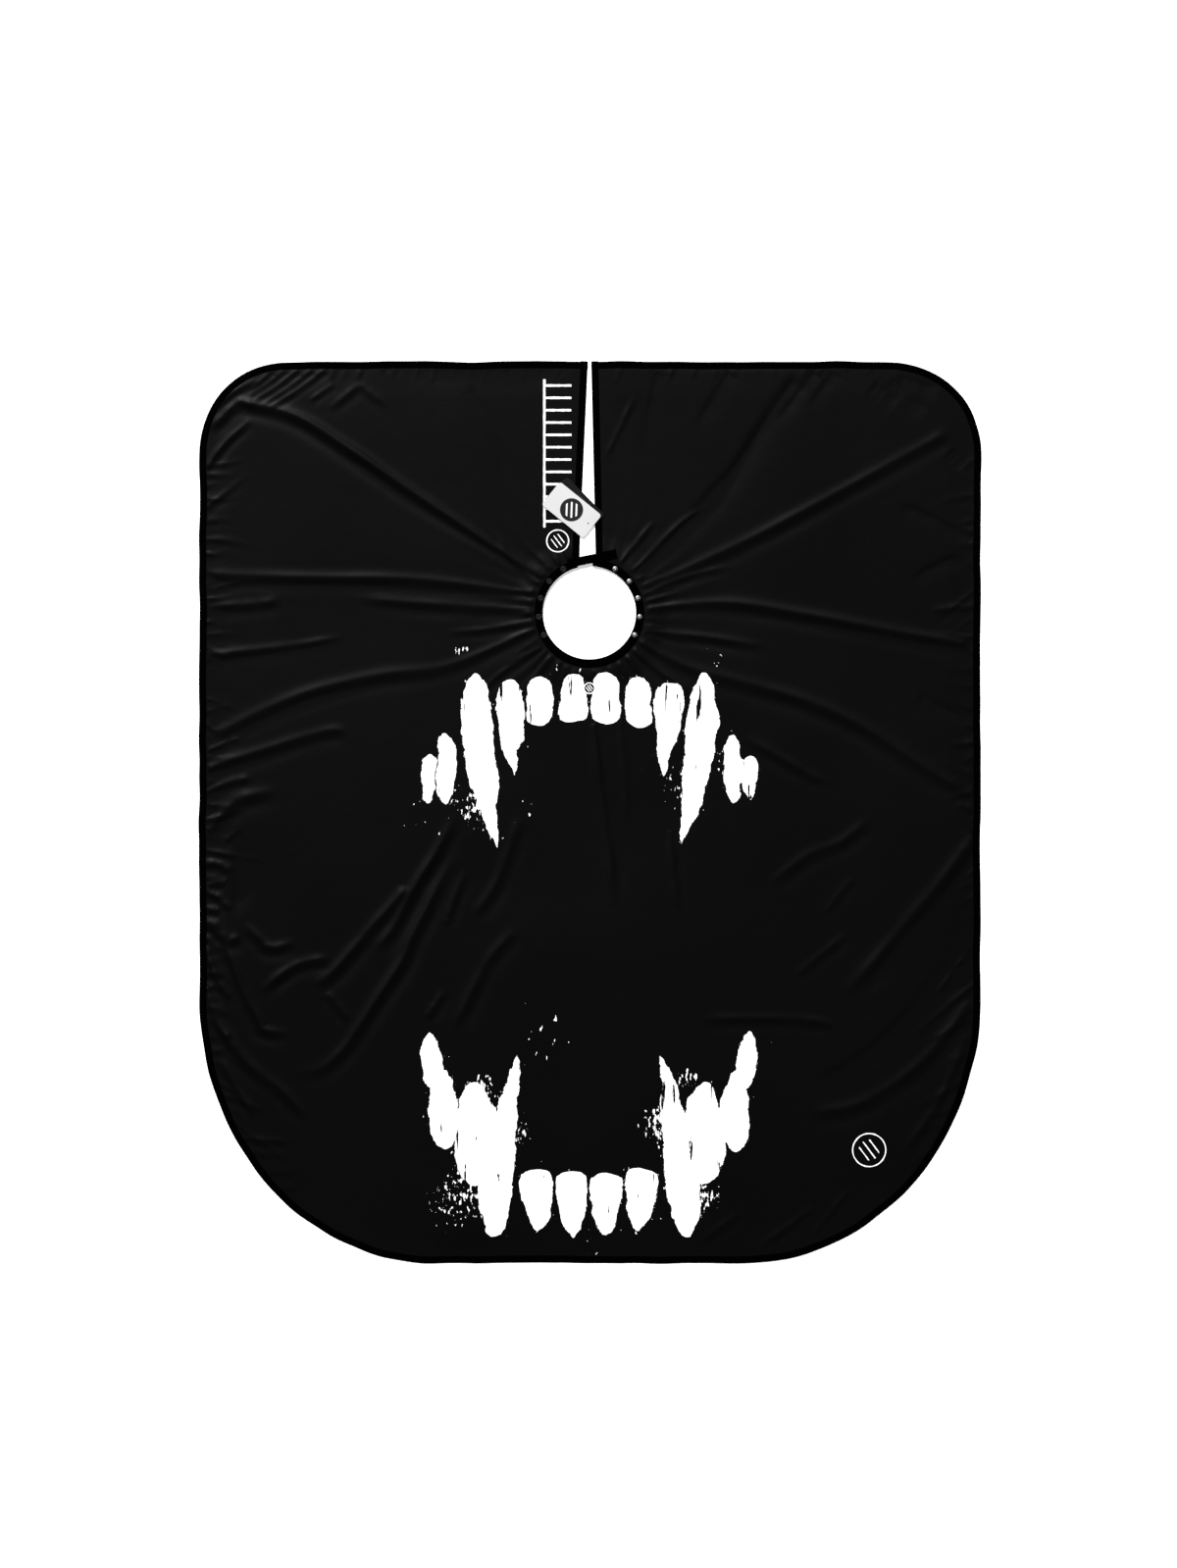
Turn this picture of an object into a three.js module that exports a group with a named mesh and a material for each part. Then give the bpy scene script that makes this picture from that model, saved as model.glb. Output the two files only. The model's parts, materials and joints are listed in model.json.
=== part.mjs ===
// Barber cape with an adjustable snap neckband, spread flat, face up.
// Millimetres. +X is the right-hand side of the face, +Y runs from the hem to the back slit, +Z is up.
// The origin is under the middle of the cape, on the surface that it lies on.
//
// The cape is a thin sheet with a bound edge, a round neck opening and a slit from the neck to the back
// edge. The sheet is drawn in three panels that fold on two lines along Y: a centre panel and two wings.
// The neckband is two rings of cloth with a stiffener and the sheet's edge between them. Its left half
// carries sockets, its right half carries studs, and its left end runs on over the slit as a tab.

import * as THREE from 'three';
import { mergeVertices } from 'three/addons/utils/BufferGeometryUtils.js';

// ---------------------------------------------------------------- driving dimensions

const capeWidth = 1300;
const capeLength = 1500;
const backCornerRadius = 150;
const hemCornerWidth = 395;
const hemCornerHeight = 440;
const foldLineX = 325;

const clothThickness = 0.8;
const tapeThickness = 0.5;
const bindingWidth = 12;
const clearance = 0.3;

const neckX = -1;
const neckY = 332;
const neckRadius = 77.5;
const bandWidth = 13.5;
const bandRightEnd = 86;
const bandLeftEnd = 104;
const stiffenerInset = 1.5;
const stiffenerWall = 0.55;
const stiffenerToCloth = 0.6;
const riseWidth = 38;
const riseInset = 6;

const slitBackLeft = -3.5;
const slitBackRight = 2;
const slitNeckLeft = -18;
const slitNeckRight = 9.5;

const snapsPerSide = 5;
const firstSnapAngle = 30.7;
const snapPitchAngle = 21.4;
const capRadius = 5.25;
const capHeight = 1.4;
const studRadius = 4.75;
const studHeight = 2.4;
const knobRadius = 2.3;
const flangeHeight = 0.6;
const postRadius = 1.3;
const underSnapHeight = 2;
const socketMouthRadius = 2.6;

const tabLength = 71;
const tabWidth = 14.5;
const tabThickness = 1.2;
const tabLean = 12.4;
const tabStartAngle = 106.3;
const tabStartOffset = 2.5;
const tabRootLength = 12;
const tabEase = 0.4;

const cardLength = 89;
const cardWidth = 49;
const cardThickness = 0.4;
const cardCornerRadius = 5;
const cardHoleRadius = 1.5;
const cardHoleInset = 9;
const cardPivotX = -3;
const cardPivotFromBand = 57.5;
const cardEase = 0.8;
const backCardShift = 5;
const frontCardLean = 141;
const backCardLean = 134.5;

// ---------------------------------------------------------------- levels and places that follow

const halfWidth = capeWidth / 2;
const halfLength = capeLength / 2;
const clothBottom = tapeThickness + clearance;
const bindingHeight = clothThickness + 2 * (tapeThickness + clearance);
const edgeInset = tapeThickness + clearance;

const bandOuterRadius = neckRadius + bandWidth;
const snapCircleRadius = neckRadius + bandWidth / 2;
const liningBottom = underSnapHeight + clearance;
const raisedClothBottom = liningBottom + tapeThickness + clearance;
const facingBottom = raisedClothBottom + clothThickness + clearance;
const bandTop = facingBottom + tapeThickness;
const snapSeat = bandTop + clearance;
const postHoleRadius = postRadius + clearance;
const stiffenerOuterRadius = snapCircleRadius + postHoleRadius + stiffenerWall;
const clothNeckRadius = stiffenerOuterRadius + stiffenerToCloth;
const neckRise = raisedClothBottom - clothBottom;

const slitNeckY = neckY + bandOuterRadius + 1.5;
const tabBottom = bandTop + tabEase;
const cardPivotY = neckY + bandOuterRadius + cardPivotFromBand;
const backCardBottom = bindingHeight + cardEase;
const frontCardBottom = backCardBottom + cardThickness + clearance;

// ---------------------------------------------------------------- finishes

const finish = (color, roughness, metalness = 0) =>
  new THREE.MeshStandardMaterial({ color, roughness, metalness, side: THREE.FrontSide });
const blackCloth = finish(0x131313, 0.55);
const blackTape = finish(0x060606, 0.75);
const whiteStiffener = finish(0xd8d8d4, 0.9);
const blackSnap = finish(0x0b0b0b, 0.35, 0.4);
const steelSnap = finish(0xb9babd, 0.28, 1);
const whiteCard = finish(0xf2f2f2, 0.5);
const blackCard = finish(0x262626, 0.45);

// ---------------------------------------------------------------- helpers

const cape = new THREE.Group();
const radians = THREE.MathUtils.degToRad;
const mirrored = (points) => points.map((p) => new THREE.Vector2(-p.x, p.y)).reverse();
const onCircle = (radius, angle) =>
  new THREE.Vector2(neckX + radius * Math.cos(radians(angle)), neckY + radius * Math.sin(radians(angle)));

function addPart(name, geometry, material, place = new THREE.Vector3()) {
  const mesh = new THREE.Mesh(geometry, material);
  mesh.name = name;
  mesh.position.copy(place);
  cape.add(mesh);
  return mesh;
}

function solidFrom(positions, triangles) {
  let volume = 0;
  const corner = triangles.flat().map((i) => positions[i]);
  for (let i = 0; i < corner.length; i += 3) {
    volume += corner[i].dot(new THREE.Vector3().crossVectors(corner[i + 1], corner[i + 2]));
  }
  const facing = volume > 0 ? triangles : triangles.map(([a, b, c]) => [a, c, b]);
  const geometry = new THREE.BufferGeometry();
  geometry.setAttribute('position', new THREE.Float32BufferAttribute(positions.flatMap((p) => p.toArray()), 3));
  geometry.setIndex(facing.flat());
  return mergeVertices(geometry);
}

// A section (x across, y up) carried along a level path, with the section's x towards the path's left.
// Each path point has a lift in z. The ends are cut square to the path, or on a plane of constant x or y.
function sweep(path, section, cut = 'path') {
  const last = path.length - 1;
  const directions = path.slice(1).map((p, i) => new THREE.Vector2(p.x - path[i].x, p.y - path[i].y).normalize());
  const positions = [];
  path.forEach((point, i) => {
    const before = directions[Math.max(i - 1, 0)];
    const after = directions[Math.min(i, last - 1)];
    const along = before.clone().add(after).normalize();
    const miter = 1 / Math.max(along.dot(after), 0.2);
    const atEnd = i === 0 || i === last;
    let across = new THREE.Vector2(-along.y * miter, along.x * miter);
    if (atEnd && cut === 'x') across = new THREE.Vector2(0, 1 / along.x);
    if (atEnd && cut === 'y') across = new THREE.Vector2(-1 / along.y, 0);
    for (const s of section) {
      positions.push(new THREE.Vector3(point.x + across.x * s.x, point.y + across.y * s.x, point.z + s.y));
    }
  });
  const count = section.length;
  const triangles = [];
  for (let i = 0; i < last; i += 1) {
    for (let j = 0; j < count; j += 1) {
      const a = i * count + j;
      const b = i * count + ((j + 1) % count);
      triangles.push([a, b, b + count], [a, b + count, a + count]);
    }
  }
  for (const [a, b, c] of THREE.ShapeUtils.triangulateShape(section, [])) {
    triangles.push([a, c, b], [a + last * count, b + last * count, c + last * count]);
  }
  return solidFrom(positions, triangles);
}

function slab(points, thickness, holes = []) {
  const shape = new THREE.Shape(points);
  shape.holes = holes.map((hole) => new THREE.Path(hole));
  return new THREE.ExtrudeGeometry(shape, { depth: thickness, bevelEnabled: false, curveSegments: 12 });
}

function circlePoints(centre, radius, sides) {
  return Array.from({ length: sides }, (_, i) => {
    const turn = (2 * Math.PI * i) / sides;
    return new THREE.Vector2(centre.x + radius * Math.cos(turn), centre.y + radius * Math.sin(turn));
  });
}

function turned(profile, sides = 12) {
  const points = profile.map(([r, z]) => new THREE.Vector2(r, z));
  return new THREE.LatheGeometry(points, sides).rotateX(Math.PI / 2);
}

// ---------------------------------------------------------------- outline

const cornerSteps = 10;

// Hem corner of the right side from x = fromX to the straight side, counter-clockwise.
function hemCorner(inset, fromX) {
  const centre = new THREE.Vector2(halfWidth - hemCornerWidth, hemCornerHeight - halfLength);
  const across = hemCornerWidth - inset;
  const down = hemCornerHeight - inset;
  const points = fromX < centre.x ? [new THREE.Vector2(fromX, inset - halfLength)] : [];
  const start = fromX < centre.x ? Math.PI / 2 : Math.acos((fromX - centre.x) / across);
  for (let i = 0; i <= cornerSteps; i += 1) {
    const turn = -start * (1 - i / cornerSteps);
    points.push(new THREE.Vector2(centre.x + across * Math.cos(turn), centre.y + down * Math.sin(turn)));
  }
  return points;
}

function backCorner(inset) {
  const radius = backCornerRadius - inset;
  const centre = new THREE.Vector2(halfWidth - backCornerRadius, halfLength - backCornerRadius);
  return Array.from({ length: cornerSteps + 1 }, (_, i) => {
    const turn = ((Math.PI / 2) * i) / cornerSteps;
    return new THREE.Vector2(centre.x + radius * Math.cos(turn), centre.y + radius * Math.sin(turn));
  });
}

// Right wing's edge from the hem end of the fold line round to its back end.
function wingEdge(inset) {
  const fold = foldLineX + clearance;
  return [...hemCorner(inset, fold), ...backCorner(inset), new THREE.Vector2(fold, halfLength - inset)];
}

// Hem of the centre panel from the left fold line to the right one.
function hemEdge(inset) {
  const fold = foldLineX - clearance;
  const centreX = halfWidth - hemCornerWidth;
  const flat = Math.min(centreX, fold);
  const steps = 4;
  const right = [];
  for (let i = 0; i <= steps; i += 1) {
    const x = flat + ((fold - flat) * i) / steps;
    const across = Math.max(0, x - centreX) / (hemCornerWidth - inset);
    const down = (hemCornerHeight - inset) * Math.sqrt(1 - across * across);
    right.push(new THREE.Vector2(x, hemCornerHeight - halfLength - down));
    if (fold <= centreX) break;
  }
  return [...mirrored(right), ...right];
}

// x of the slit's edge at height y, moved inset into the cloth. side is -1 for left and 1 for right.
function slitX(side, y, inset) {
  const [back, neck] = side < 0 ? [slitBackLeft, slitNeckLeft] : [slitBackRight, slitNeckRight];
  const share = (halfLength - y) / (halfLength - slitNeckY);
  return back + (neck - back) * share + side * inset;
}

// ---------------------------------------------------------------- wings

const lifted = (points, z = 0) => points.map((p) => new THREE.Vector3(p.x, p.y, z));
const channel = [
  [0, 0],
  [bindingWidth, 0],
  [bindingWidth, tapeThickness],
  [tapeThickness, tapeThickness],
  [tapeThickness, bindingHeight - tapeThickness],
  [bindingWidth, bindingHeight - tapeThickness],
  [bindingWidth, bindingHeight],
  [0, bindingHeight],
].map(([x, y]) => new THREE.Vector2(x, y));

for (const [side, turnRound] of [['right', (p) => p], ['left', mirrored]]) {
  addPart(`${side}_wing_panel`, slab(turnRound(wingEdge(edgeInset)), clothThickness), blackCloth,
    new THREE.Vector3(0, 0, clothBottom));
  addPart(`${side}_wing_binding`, sweep(lifted(turnRound(wingEdge(0))), channel, 'x'), blackTape);
}

// ---------------------------------------------------------------- centre panel

// How far the cloth is lifted by the neckband's snaps at a distance from the neck's centre.
function riseAt(x, y) {
  const distance = Math.hypot(x - neckX, y - neckY);
  const start = bandOuterRadius + riseInset;
  return neckRise * (1 - THREE.MathUtils.smoothstep(distance, start, start + riseWidth));
}

// Where the slit's cloth edge meets the circle on which the cloth enters the neckband.
function slitMeetsBand(side) {
  let y = neckY + clothNeckRadius;
  for (let i = 0; i < 20; i += 1) {
    y = neckY + Math.sqrt(clothNeckRadius ** 2 - (slitX(side, y, edgeInset) - neckX) ** 2);
  }
  return Math.atan2(y - neckY, slitX(side, y, edgeInset) - neckX);
}

function spread(from, to, step) {
  const count = Math.max(1, Math.round(from.distanceTo(to) / step));
  return Array.from({ length: count }, (_, i) => from.clone().lerp(to, i / count));
}

const rimStep = 45;

function centrePanel() {
  const backY = halfLength - edgeInset;
  const fold = foldLineX - clearance;
  const corners = [
    new THREE.Vector2(slitX(1, backY, edgeInset), backY),
    new THREE.Vector2(fold, backY),
    ...hemEdge(edgeInset).reverse(),
    new THREE.Vector2(-fold, backY),
    new THREE.Vector2(slitX(-1, backY, edgeInset), backY),
  ];
  const rim = corners.slice(1).flatMap((p, i) => spread(corners[i], p, rimStep));
  rim.push(corners.at(-1));
  const start = slitMeetsBand(1);
  const end = slitMeetsBand(-1) - 2 * Math.PI;
  const turnOf = (p) => {
    const turn = Math.atan2(p.y - neckY, p.x - neckX);
    return p === rim.at(-1) || (turn > Math.PI / 2 && p.x < neckX) ? turn - 2 * Math.PI : turn;
  };
  const rimStart = turnOf(rim[0]);
  const rimEnd = turnOf(rim.at(-1));
  const distances = [0, 12, 22, 32, 44, 58];
  const rows = distances.length + 1;
  const faces = [0, clothThickness];
  const positions = [];
  rim.forEach((outer) => {
    const turn = start + ((turnOf(outer) - rimStart) * (end - start)) / (rimEnd - rimStart);
    const inner = new THREE.Vector2(
      neckX + clothNeckRadius * Math.cos(turn),
      neckY + clothNeckRadius * Math.sin(turn),
    );
    const length = inner.distanceTo(outer);
    for (const distance of [...distances, length]) {
      const p = inner.clone().lerp(outer, distance / length);
      for (const height of faces) {
        positions.push(new THREE.Vector3(p.x, p.y, clothBottom + riseAt(p.x, p.y) + height));
      }
    }
  });
  const at = (column, row, layer) => (column * rows + row) * 2 + layer;
  const triangles = [];
  const quad = (a, b, c, d) => triangles.push([a, b, c], [a, c, d]);
  const last = rim.length - 1;
  for (let i = 0; i < last; i += 1) {
    for (let j = 0; j < rows - 1; j += 1) {
      quad(at(i, j, 1), at(i, j + 1, 1), at(i + 1, j + 1, 1), at(i + 1, j, 1));
      quad(at(i, j, 0), at(i + 1, j, 0), at(i + 1, j + 1, 0), at(i, j + 1, 0));
    }
    quad(at(i, 0, 0), at(i, 0, 1), at(i + 1, 0, 1), at(i + 1, 0, 0));
    quad(at(i, rows - 1, 0), at(i + 1, rows - 1, 0), at(i + 1, rows - 1, 1), at(i, rows - 1, 1));
  }
  for (let j = 0; j < rows - 1; j += 1) {
    quad(at(0, j, 0), at(0, j + 1, 0), at(0, j + 1, 1), at(0, j, 1));
    quad(at(last, j, 0), at(last, j, 1), at(last, j + 1, 1), at(last, j + 1, 0));
  }
  return solidFrom(positions, triangles);
}

addPart('centre_panel', centrePanel(), blackCloth);

// ---------------------------------------------------------------- bindings of the centre panel

const foldEnd = foldLineX - clearance;
const backLine = (fromX, toX) => [new THREE.Vector3(fromX, halfLength, 0), new THREE.Vector3(toX, halfLength, 0)];

// The back edge's binding stops where the slit's binding begins, so each slit has a lapped corner.
const slitBindingReach = (side) => slitX(side, halfLength - bindingWidth, bindingWidth + clearance);
addPart('top_binding_right', sweep(backLine(foldEnd, slitBindingReach(1)), channel), blackTape);
addPart('top_binding_left', sweep(backLine(slitBindingReach(-1), -foldEnd), channel), blackTape);
addPart('bottom_binding', sweep(lifted(hemEdge(0)), channel, 'x'), blackTape);

function slitPath(side) {
  const bandClear = neckY + bandOuterRadius + clearance;
  const steps = 5;
  const rises = Array.from({ length: steps + 1 }, (_, i) => slitNeckY + riseInset + (riseWidth * i) / steps);
  return [bandClear, ...rises, halfLength].map((y) => {
    const x = slitX(side, y, 0);
    return new THREE.Vector3(x, y, riseAt(x + side * (bindingWidth / 2), y));
  });
}

addPart('right_slit_binding', sweep(slitPath(1).reverse(), channel, 'y'), blackTape);
addPart('left_slit_binding', sweep(slitPath(-1), channel, 'y'), blackTape);

// ---------------------------------------------------------------- neckband

const snapAngles = (side) =>
  Array.from({ length: snapsPerSide }, (_, i) => 90 - side * (firstSnapAngle + i * snapPitchAngle));
const allSnaps = [...snapAngles(1), ...snapAngles(-1)];

function bandRing(innerRadius, outerRadius, thickness) {
  const steps = 48;
  const arc = (radius) =>
    Array.from({ length: steps + 1 }, (_, i) =>
      onCircle(radius, bandLeftEnd + ((360 + bandRightEnd - bandLeftEnd) * i) / steps));
  const outline = [...arc(outerRadius), ...arc(innerRadius).reverse()];
  const holes = allSnaps.map((angle) => circlePoints(onCircle(snapCircleRadius, angle), postHoleRadius, 8));
  return slab(outline, thickness, holes);
}

const level = (z) => new THREE.Vector3(0, 0, z);
addPart('neckband_facing', bandRing(neckRadius, bandOuterRadius, tapeThickness), blackTape, level(facingBottom));
addPart('neckband_lining', bandRing(neckRadius, bandOuterRadius, tapeThickness), blackTape, level(liningBottom));
addPart('neckband_interlining',
  bandRing(neckRadius + stiffenerInset, stiffenerOuterRadius, clothThickness),
  whiteStiffener, level(raisedClothBottom));

// ---------------------------------------------------------------- snaps

const socketRoof = 1.2;
const postEnd = socketRoof + 0.1;

// Left half: a domed cap on the face whose post holds a socket on the underside.
const leftCap = turned([
  [0, postEnd],
  [postRadius, postEnd],
  [postRadius, snapSeat],
  [capRadius, snapSeat],
  [capRadius, snapSeat + capHeight * 0.35],
  [capRadius * 0.75, snapSeat + capHeight * 0.85],
  [0, snapSeat + capHeight],
]);
const leftSocket = turned([
  [socketMouthRadius, 0],
  [studRadius, 0],
  [studRadius, flangeHeight],
  [studRadius * 0.85, underSnapHeight],
  [postHoleRadius, underSnapHeight],
  [postHoleRadius, socketRoof],
  [socketMouthRadius, socketRoof],
  [socketMouthRadius, 0],
]);

// Right half: a stud on the face, held by the post of a cap on the underside.
const boreTop = snapSeat + studHeight * 0.55;
const rightStud = turned([
  [0, boreTop],
  [postHoleRadius, boreTop],
  [postHoleRadius, snapSeat],
  [studRadius, snapSeat],
  [studRadius, snapSeat + flangeHeight],
  [knobRadius * 0.85, snapSeat + flangeHeight],
  [knobRadius, snapSeat + studHeight * 0.7],
  [knobRadius * 0.7, snapSeat + studHeight],
  [0, snapSeat + studHeight],
]);
const rightBackingCap = turned([
  [0, 0],
  [capRadius * 0.6, 0],
  [capRadius, capHeight * 0.6],
  [capRadius, underSnapHeight],
  [postRadius, underSnapHeight],
  [postRadius, boreTop - clearance],
  [0, boreTop - clearance],
]);

const kinds = [
  [-1, 'left_snap_cap', leftCap, blackSnap],
  [-1, 'left_snap_socket', leftSocket, steelSnap],
  [1, 'right_snap_stud', rightStud, steelSnap],
  [1, 'right_snap_backing', rightBackingCap, blackSnap],
];
for (const [side, name, geometry, material] of kinds) {
  snapAngles(side).forEach((angle, i) => {
    const place = onCircle(snapCircleRadius, angle);
    addPart(`${name}_${i + 1}`, geometry.clone(), material, new THREE.Vector3(place.x, place.y, 0));
  });
}

// ---------------------------------------------------------------- closure tab

// The tab's own frame starts on its fold line, with x along the tab.
const tab = new THREE.Group();
const tabStart = onCircle(snapCircleRadius + tabStartOffset, tabStartAngle);
tab.position.set(tabStart.x, tabStart.y, tabBottom);
tab.rotation.z = radians(tabLean);
cape.add(tab);

function strip(fromX, toX) {
  const half = tabWidth / 2;
  const corners = [[fromX, -half], [toX, -half], [toX, half], [fromX, half]];
  return slab(corners.map(([x, y]) => new THREE.Vector2(x, y)), tabThickness);
}
tab.add(addPart('closure_tab', strip(0, tabLength), blackTape));
tab.add(addPart('closure_tab_root', strip(-tabRootLength, -clearance), blackTape));

// ---------------------------------------------------------------- hang tags

function card(shift) {
  const nearEnd = -cardHoleInset;
  const farEnd = cardLength - cardHoleInset;
  const low = -cardWidth / 2 - shift;
  const high = cardWidth / 2 - shift;
  const r = cardCornerRadius;
  const shape = new THREE.Shape();
  shape.moveTo(nearEnd + r, low);
  shape.lineTo(farEnd - r, low);
  shape.absarc(farEnd - r, low + r, r, -Math.PI / 2, 0);
  shape.absarc(farEnd - r, high - r, r, 0, Math.PI / 2);
  shape.absarc(nearEnd + r, high - r, r, Math.PI / 2, Math.PI);
  shape.absarc(nearEnd + r, low + r, r, Math.PI, Math.PI * 1.5);
  shape.holes = [new THREE.Path(circlePoints(new THREE.Vector2(), cardHoleRadius, 12))];
  return new THREE.ExtrudeGeometry(shape, { depth: cardThickness, bevelEnabled: false, curveSegments: 4 });
}

for (const [name, z, lean, shift, material] of [
  ['tag_card_back', backCardBottom, backCardLean, backCardShift, blackCard],
  ['tag_card_front', frontCardBottom, frontCardLean, 0, whiteCard],
]) {
  const tag = addPart(name, card(shift), material, new THREE.Vector3(cardPivotX, cardPivotY, z));
  tag.rotation.z = radians(lean);
}

export default cape;
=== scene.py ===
"""A barber cape spread flat on a pale floor: creased satin cloth with a printed face, bound edges, a snap
neckband with a lapped tab, and two hang tags. Metres, +X right, +Y towards the back slit, +Z up."""

import json
import math

import bpy
import numpy as np
from bpy.props import FloatProperty, FloatVectorProperty, IntProperty, PointerProperty
from bpy.types import Operator, Panel, PropertyGroup
from mathutils import Matrix, Vector


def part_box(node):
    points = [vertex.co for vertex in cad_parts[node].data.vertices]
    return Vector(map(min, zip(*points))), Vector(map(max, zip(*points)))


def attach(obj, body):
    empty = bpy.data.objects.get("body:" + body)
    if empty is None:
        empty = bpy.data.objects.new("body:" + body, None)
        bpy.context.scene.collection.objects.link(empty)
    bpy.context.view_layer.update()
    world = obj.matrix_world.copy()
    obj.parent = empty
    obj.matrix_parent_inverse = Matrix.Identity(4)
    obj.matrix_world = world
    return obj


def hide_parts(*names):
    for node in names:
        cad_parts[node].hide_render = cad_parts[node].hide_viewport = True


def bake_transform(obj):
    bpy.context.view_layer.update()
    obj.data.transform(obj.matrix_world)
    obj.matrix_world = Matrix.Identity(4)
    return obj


bl_info = {
    "name": "Barber cape",
    "version": (1, 0, 0),
    "blender": (4, 5, 0),
    "location": "3D View > Sidebar > Cape",
    "description": "Builds the looks of a barber cape around its packed frame",
    "category": "Add Mesh",
}

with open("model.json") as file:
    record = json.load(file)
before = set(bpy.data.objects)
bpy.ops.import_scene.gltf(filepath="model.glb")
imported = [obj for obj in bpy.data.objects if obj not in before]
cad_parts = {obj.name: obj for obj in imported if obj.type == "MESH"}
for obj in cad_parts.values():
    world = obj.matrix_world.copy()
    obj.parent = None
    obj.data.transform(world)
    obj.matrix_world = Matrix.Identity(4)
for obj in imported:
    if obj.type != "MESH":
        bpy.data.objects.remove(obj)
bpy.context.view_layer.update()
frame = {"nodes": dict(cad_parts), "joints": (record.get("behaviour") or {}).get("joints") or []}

MM = 0.001
SEAM_INSET = 0.009  # from the outer edge to where the seam holds the cloth down
PATH_STEP = 0.004  # between two sections of a binding

# ------------------------------------------------------------------ places that come from the frame

HALF_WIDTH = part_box("right_wing_binding")[1].x
HALF_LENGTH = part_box("top_binding_right")[1].y
BAND_LOW, BAND_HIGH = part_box("neckband_facing")
BAND_OUTER = (BAND_HIGH.x - BAND_LOW.x) / 2
NECK_X = (BAND_HIGH.x + BAND_LOW.x) / 2
NECK_Y = BAND_LOW.y + BAND_OUTER
BAND_TOP = BAND_HIGH.z
LINING_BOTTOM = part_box("neckband_lining")[0].z
CLOTH_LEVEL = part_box("left_wing_panel")[0].z
RAISED_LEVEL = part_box("neckband_interlining")[0].z
BINDING_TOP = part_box("left_wing_binding")[1].z
JOINTS = {joint["name"]: joint for joint in frame["joints"]}


def measure(name, description, default, **more):
    return FloatProperty(name=name, description=description, default=default, unit="LENGTH", **more)


def angle(name, description, degrees):
    return FloatProperty(name=name, description=description, default=math.radians(degrees), subtype="ANGLE")


def paint(name, description, default):
    return FloatVectorProperty(name=name, description=description, default=default, subtype="COLOR")


class ClothSettings(PropertyGroup):
    cell: measure("Cell", "Side of one face of the cloth", 0.0033, precision=4)
    cut_x: measure("Cut", "Distance from the middle to where each half is cut in two pieces", 0.3)
    thickness: measure("Thickness", "Thickness of the cloth", 0.0003, precision=5)
    back_corner: measure("Back corner", "Radius of the two back corners", 0.15)
    hem_corner_width: measure("Hem corner width", "Width of a rounded hem corner", 0.395)
    hem_corner_height: measure("Hem corner height", "Height of a rounded hem corner", 0.44)
    fold_strength: FloatProperty(
        name="Fold strength", description="Multiplies the height of every fold", default=1.0, min=0, max=2
    )
    cloth_colour: paint("Cloth", "Colour of the cloth", (0.0012, 0.0012, 0.0012))
    print_colour: paint("Print", "Colour of the printed motif", (0.93, 0.93, 0.93))


class BindingSettings(PropertyGroup):
    width: measure("Width", "Width of the edge binding", 0.012)
    stitch: measure("Stitch", "Length of one stitch", 0.0026)
    stitch_gap: measure("Stitch gap", "Space between stitches", 0.0009)
    stitch_inset: measure("Stitch inset", "From the tape's inner edge to its stitches", 0.0022)
    tape_colour: paint("Tape", "Colour of the binding tape", (0.00015, 0.00015, 0.00015))


class NeckbandSettings(PropertyGroup):
    width: measure("Width", "Width of the neckband", 0.0135)
    stitch_inset: measure("Stitch inset", "From each edge of the band to its stitches", 0.0014)
    left_end: angle("Left end", "Angle at which the left half ends", 104)
    right_end: angle("Right end", "Angle at which the right half ends", 86)


class SnapSettings(PropertyGroup):
    steps: IntProperty(name="Steps", description="Steps in each turned snap part", default=40, min=12)


class TagSettings(PropertyGroup):
    length: measure("Length", "Length of a card", 0.089)
    width: measure("Width", "Width of a card", 0.049)
    thickness: measure("Thickness", "Thickness of a card", 0.0004, precision=4)
    corner: measure("Corner", "Radius of a card's corners", 0.005)
    hole_inset: measure("Hole inset", "From the punched hole to the end of the card", 0.009)
    hole_radius: measure("Hole radius", "Radius of the punched hole", 0.0015, precision=4)
    front_lean: angle("White card's lean", "Direction of the white card", 141)
    back_lean: angle("Dark card's lean", "Direction of the dark card", 134.5)
    back_shift: measure("Dark card's shift", "From the dark card's middle line to its hole", 0.005)
    curl: measure("Curl", "Height of the white card's middle over its ends", 0.0006, precision=4)


class StageSettings(PropertyGroup):
    lens: FloatProperty(name="Lens", description="Focal length in millimetres", default=85.0)
    view_height: measure("View height", "Height of the view on the floor", 2.607)
    view_x: measure("View X", "Middle of the view", -0.0024)
    view_y: measure("View Y", "Middle of the view", 0.0474)


# ------------------------------------------------------------------ shader maths


class Value:
    """One output in a node tree. Python's operators on it add Math nodes."""

    def __init__(self, finish, socket):
        self.finish = finish
        self.socket = socket

    def math(self, operation, *others):
        return self.finish.add("ShaderNodeMath", {"operation": operation}, self, *others)

    def __add__(self, other):
        return self.math("ADD", other)

    __radd__ = __add__

    def __mul__(self, other):
        return self.math("MULTIPLY", other)

    __rmul__ = __mul__

    def __sub__(self, other):
        return self.math("SUBTRACT", other)

    def __rsub__(self, other):
        return self.finish.add("ShaderNodeMath", {"operation": "SUBTRACT"}, other, self)

    def __truediv__(self, other):
        return self.math("DIVIDE", other)

    def __neg__(self):
        return self * -1.0

    def __abs__(self):
        return self.math("ABSOLUTE")

    def least(self, other):
        return self.math("MINIMUM", other)

    def most(self, other):
        return self.math("MAXIMUM", other)

    def power(self, other):
        return self.math("POWER", other)

    def step(self, low, high):
        """0 below low and 1 above high, smooth between them. low may be the larger."""
        return self.finish.add(
            "ShaderNodeMapRange", {"interpolation_type": "SMOOTHSTEP"}, self, low, high, 0.0, 1.0
        )


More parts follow.
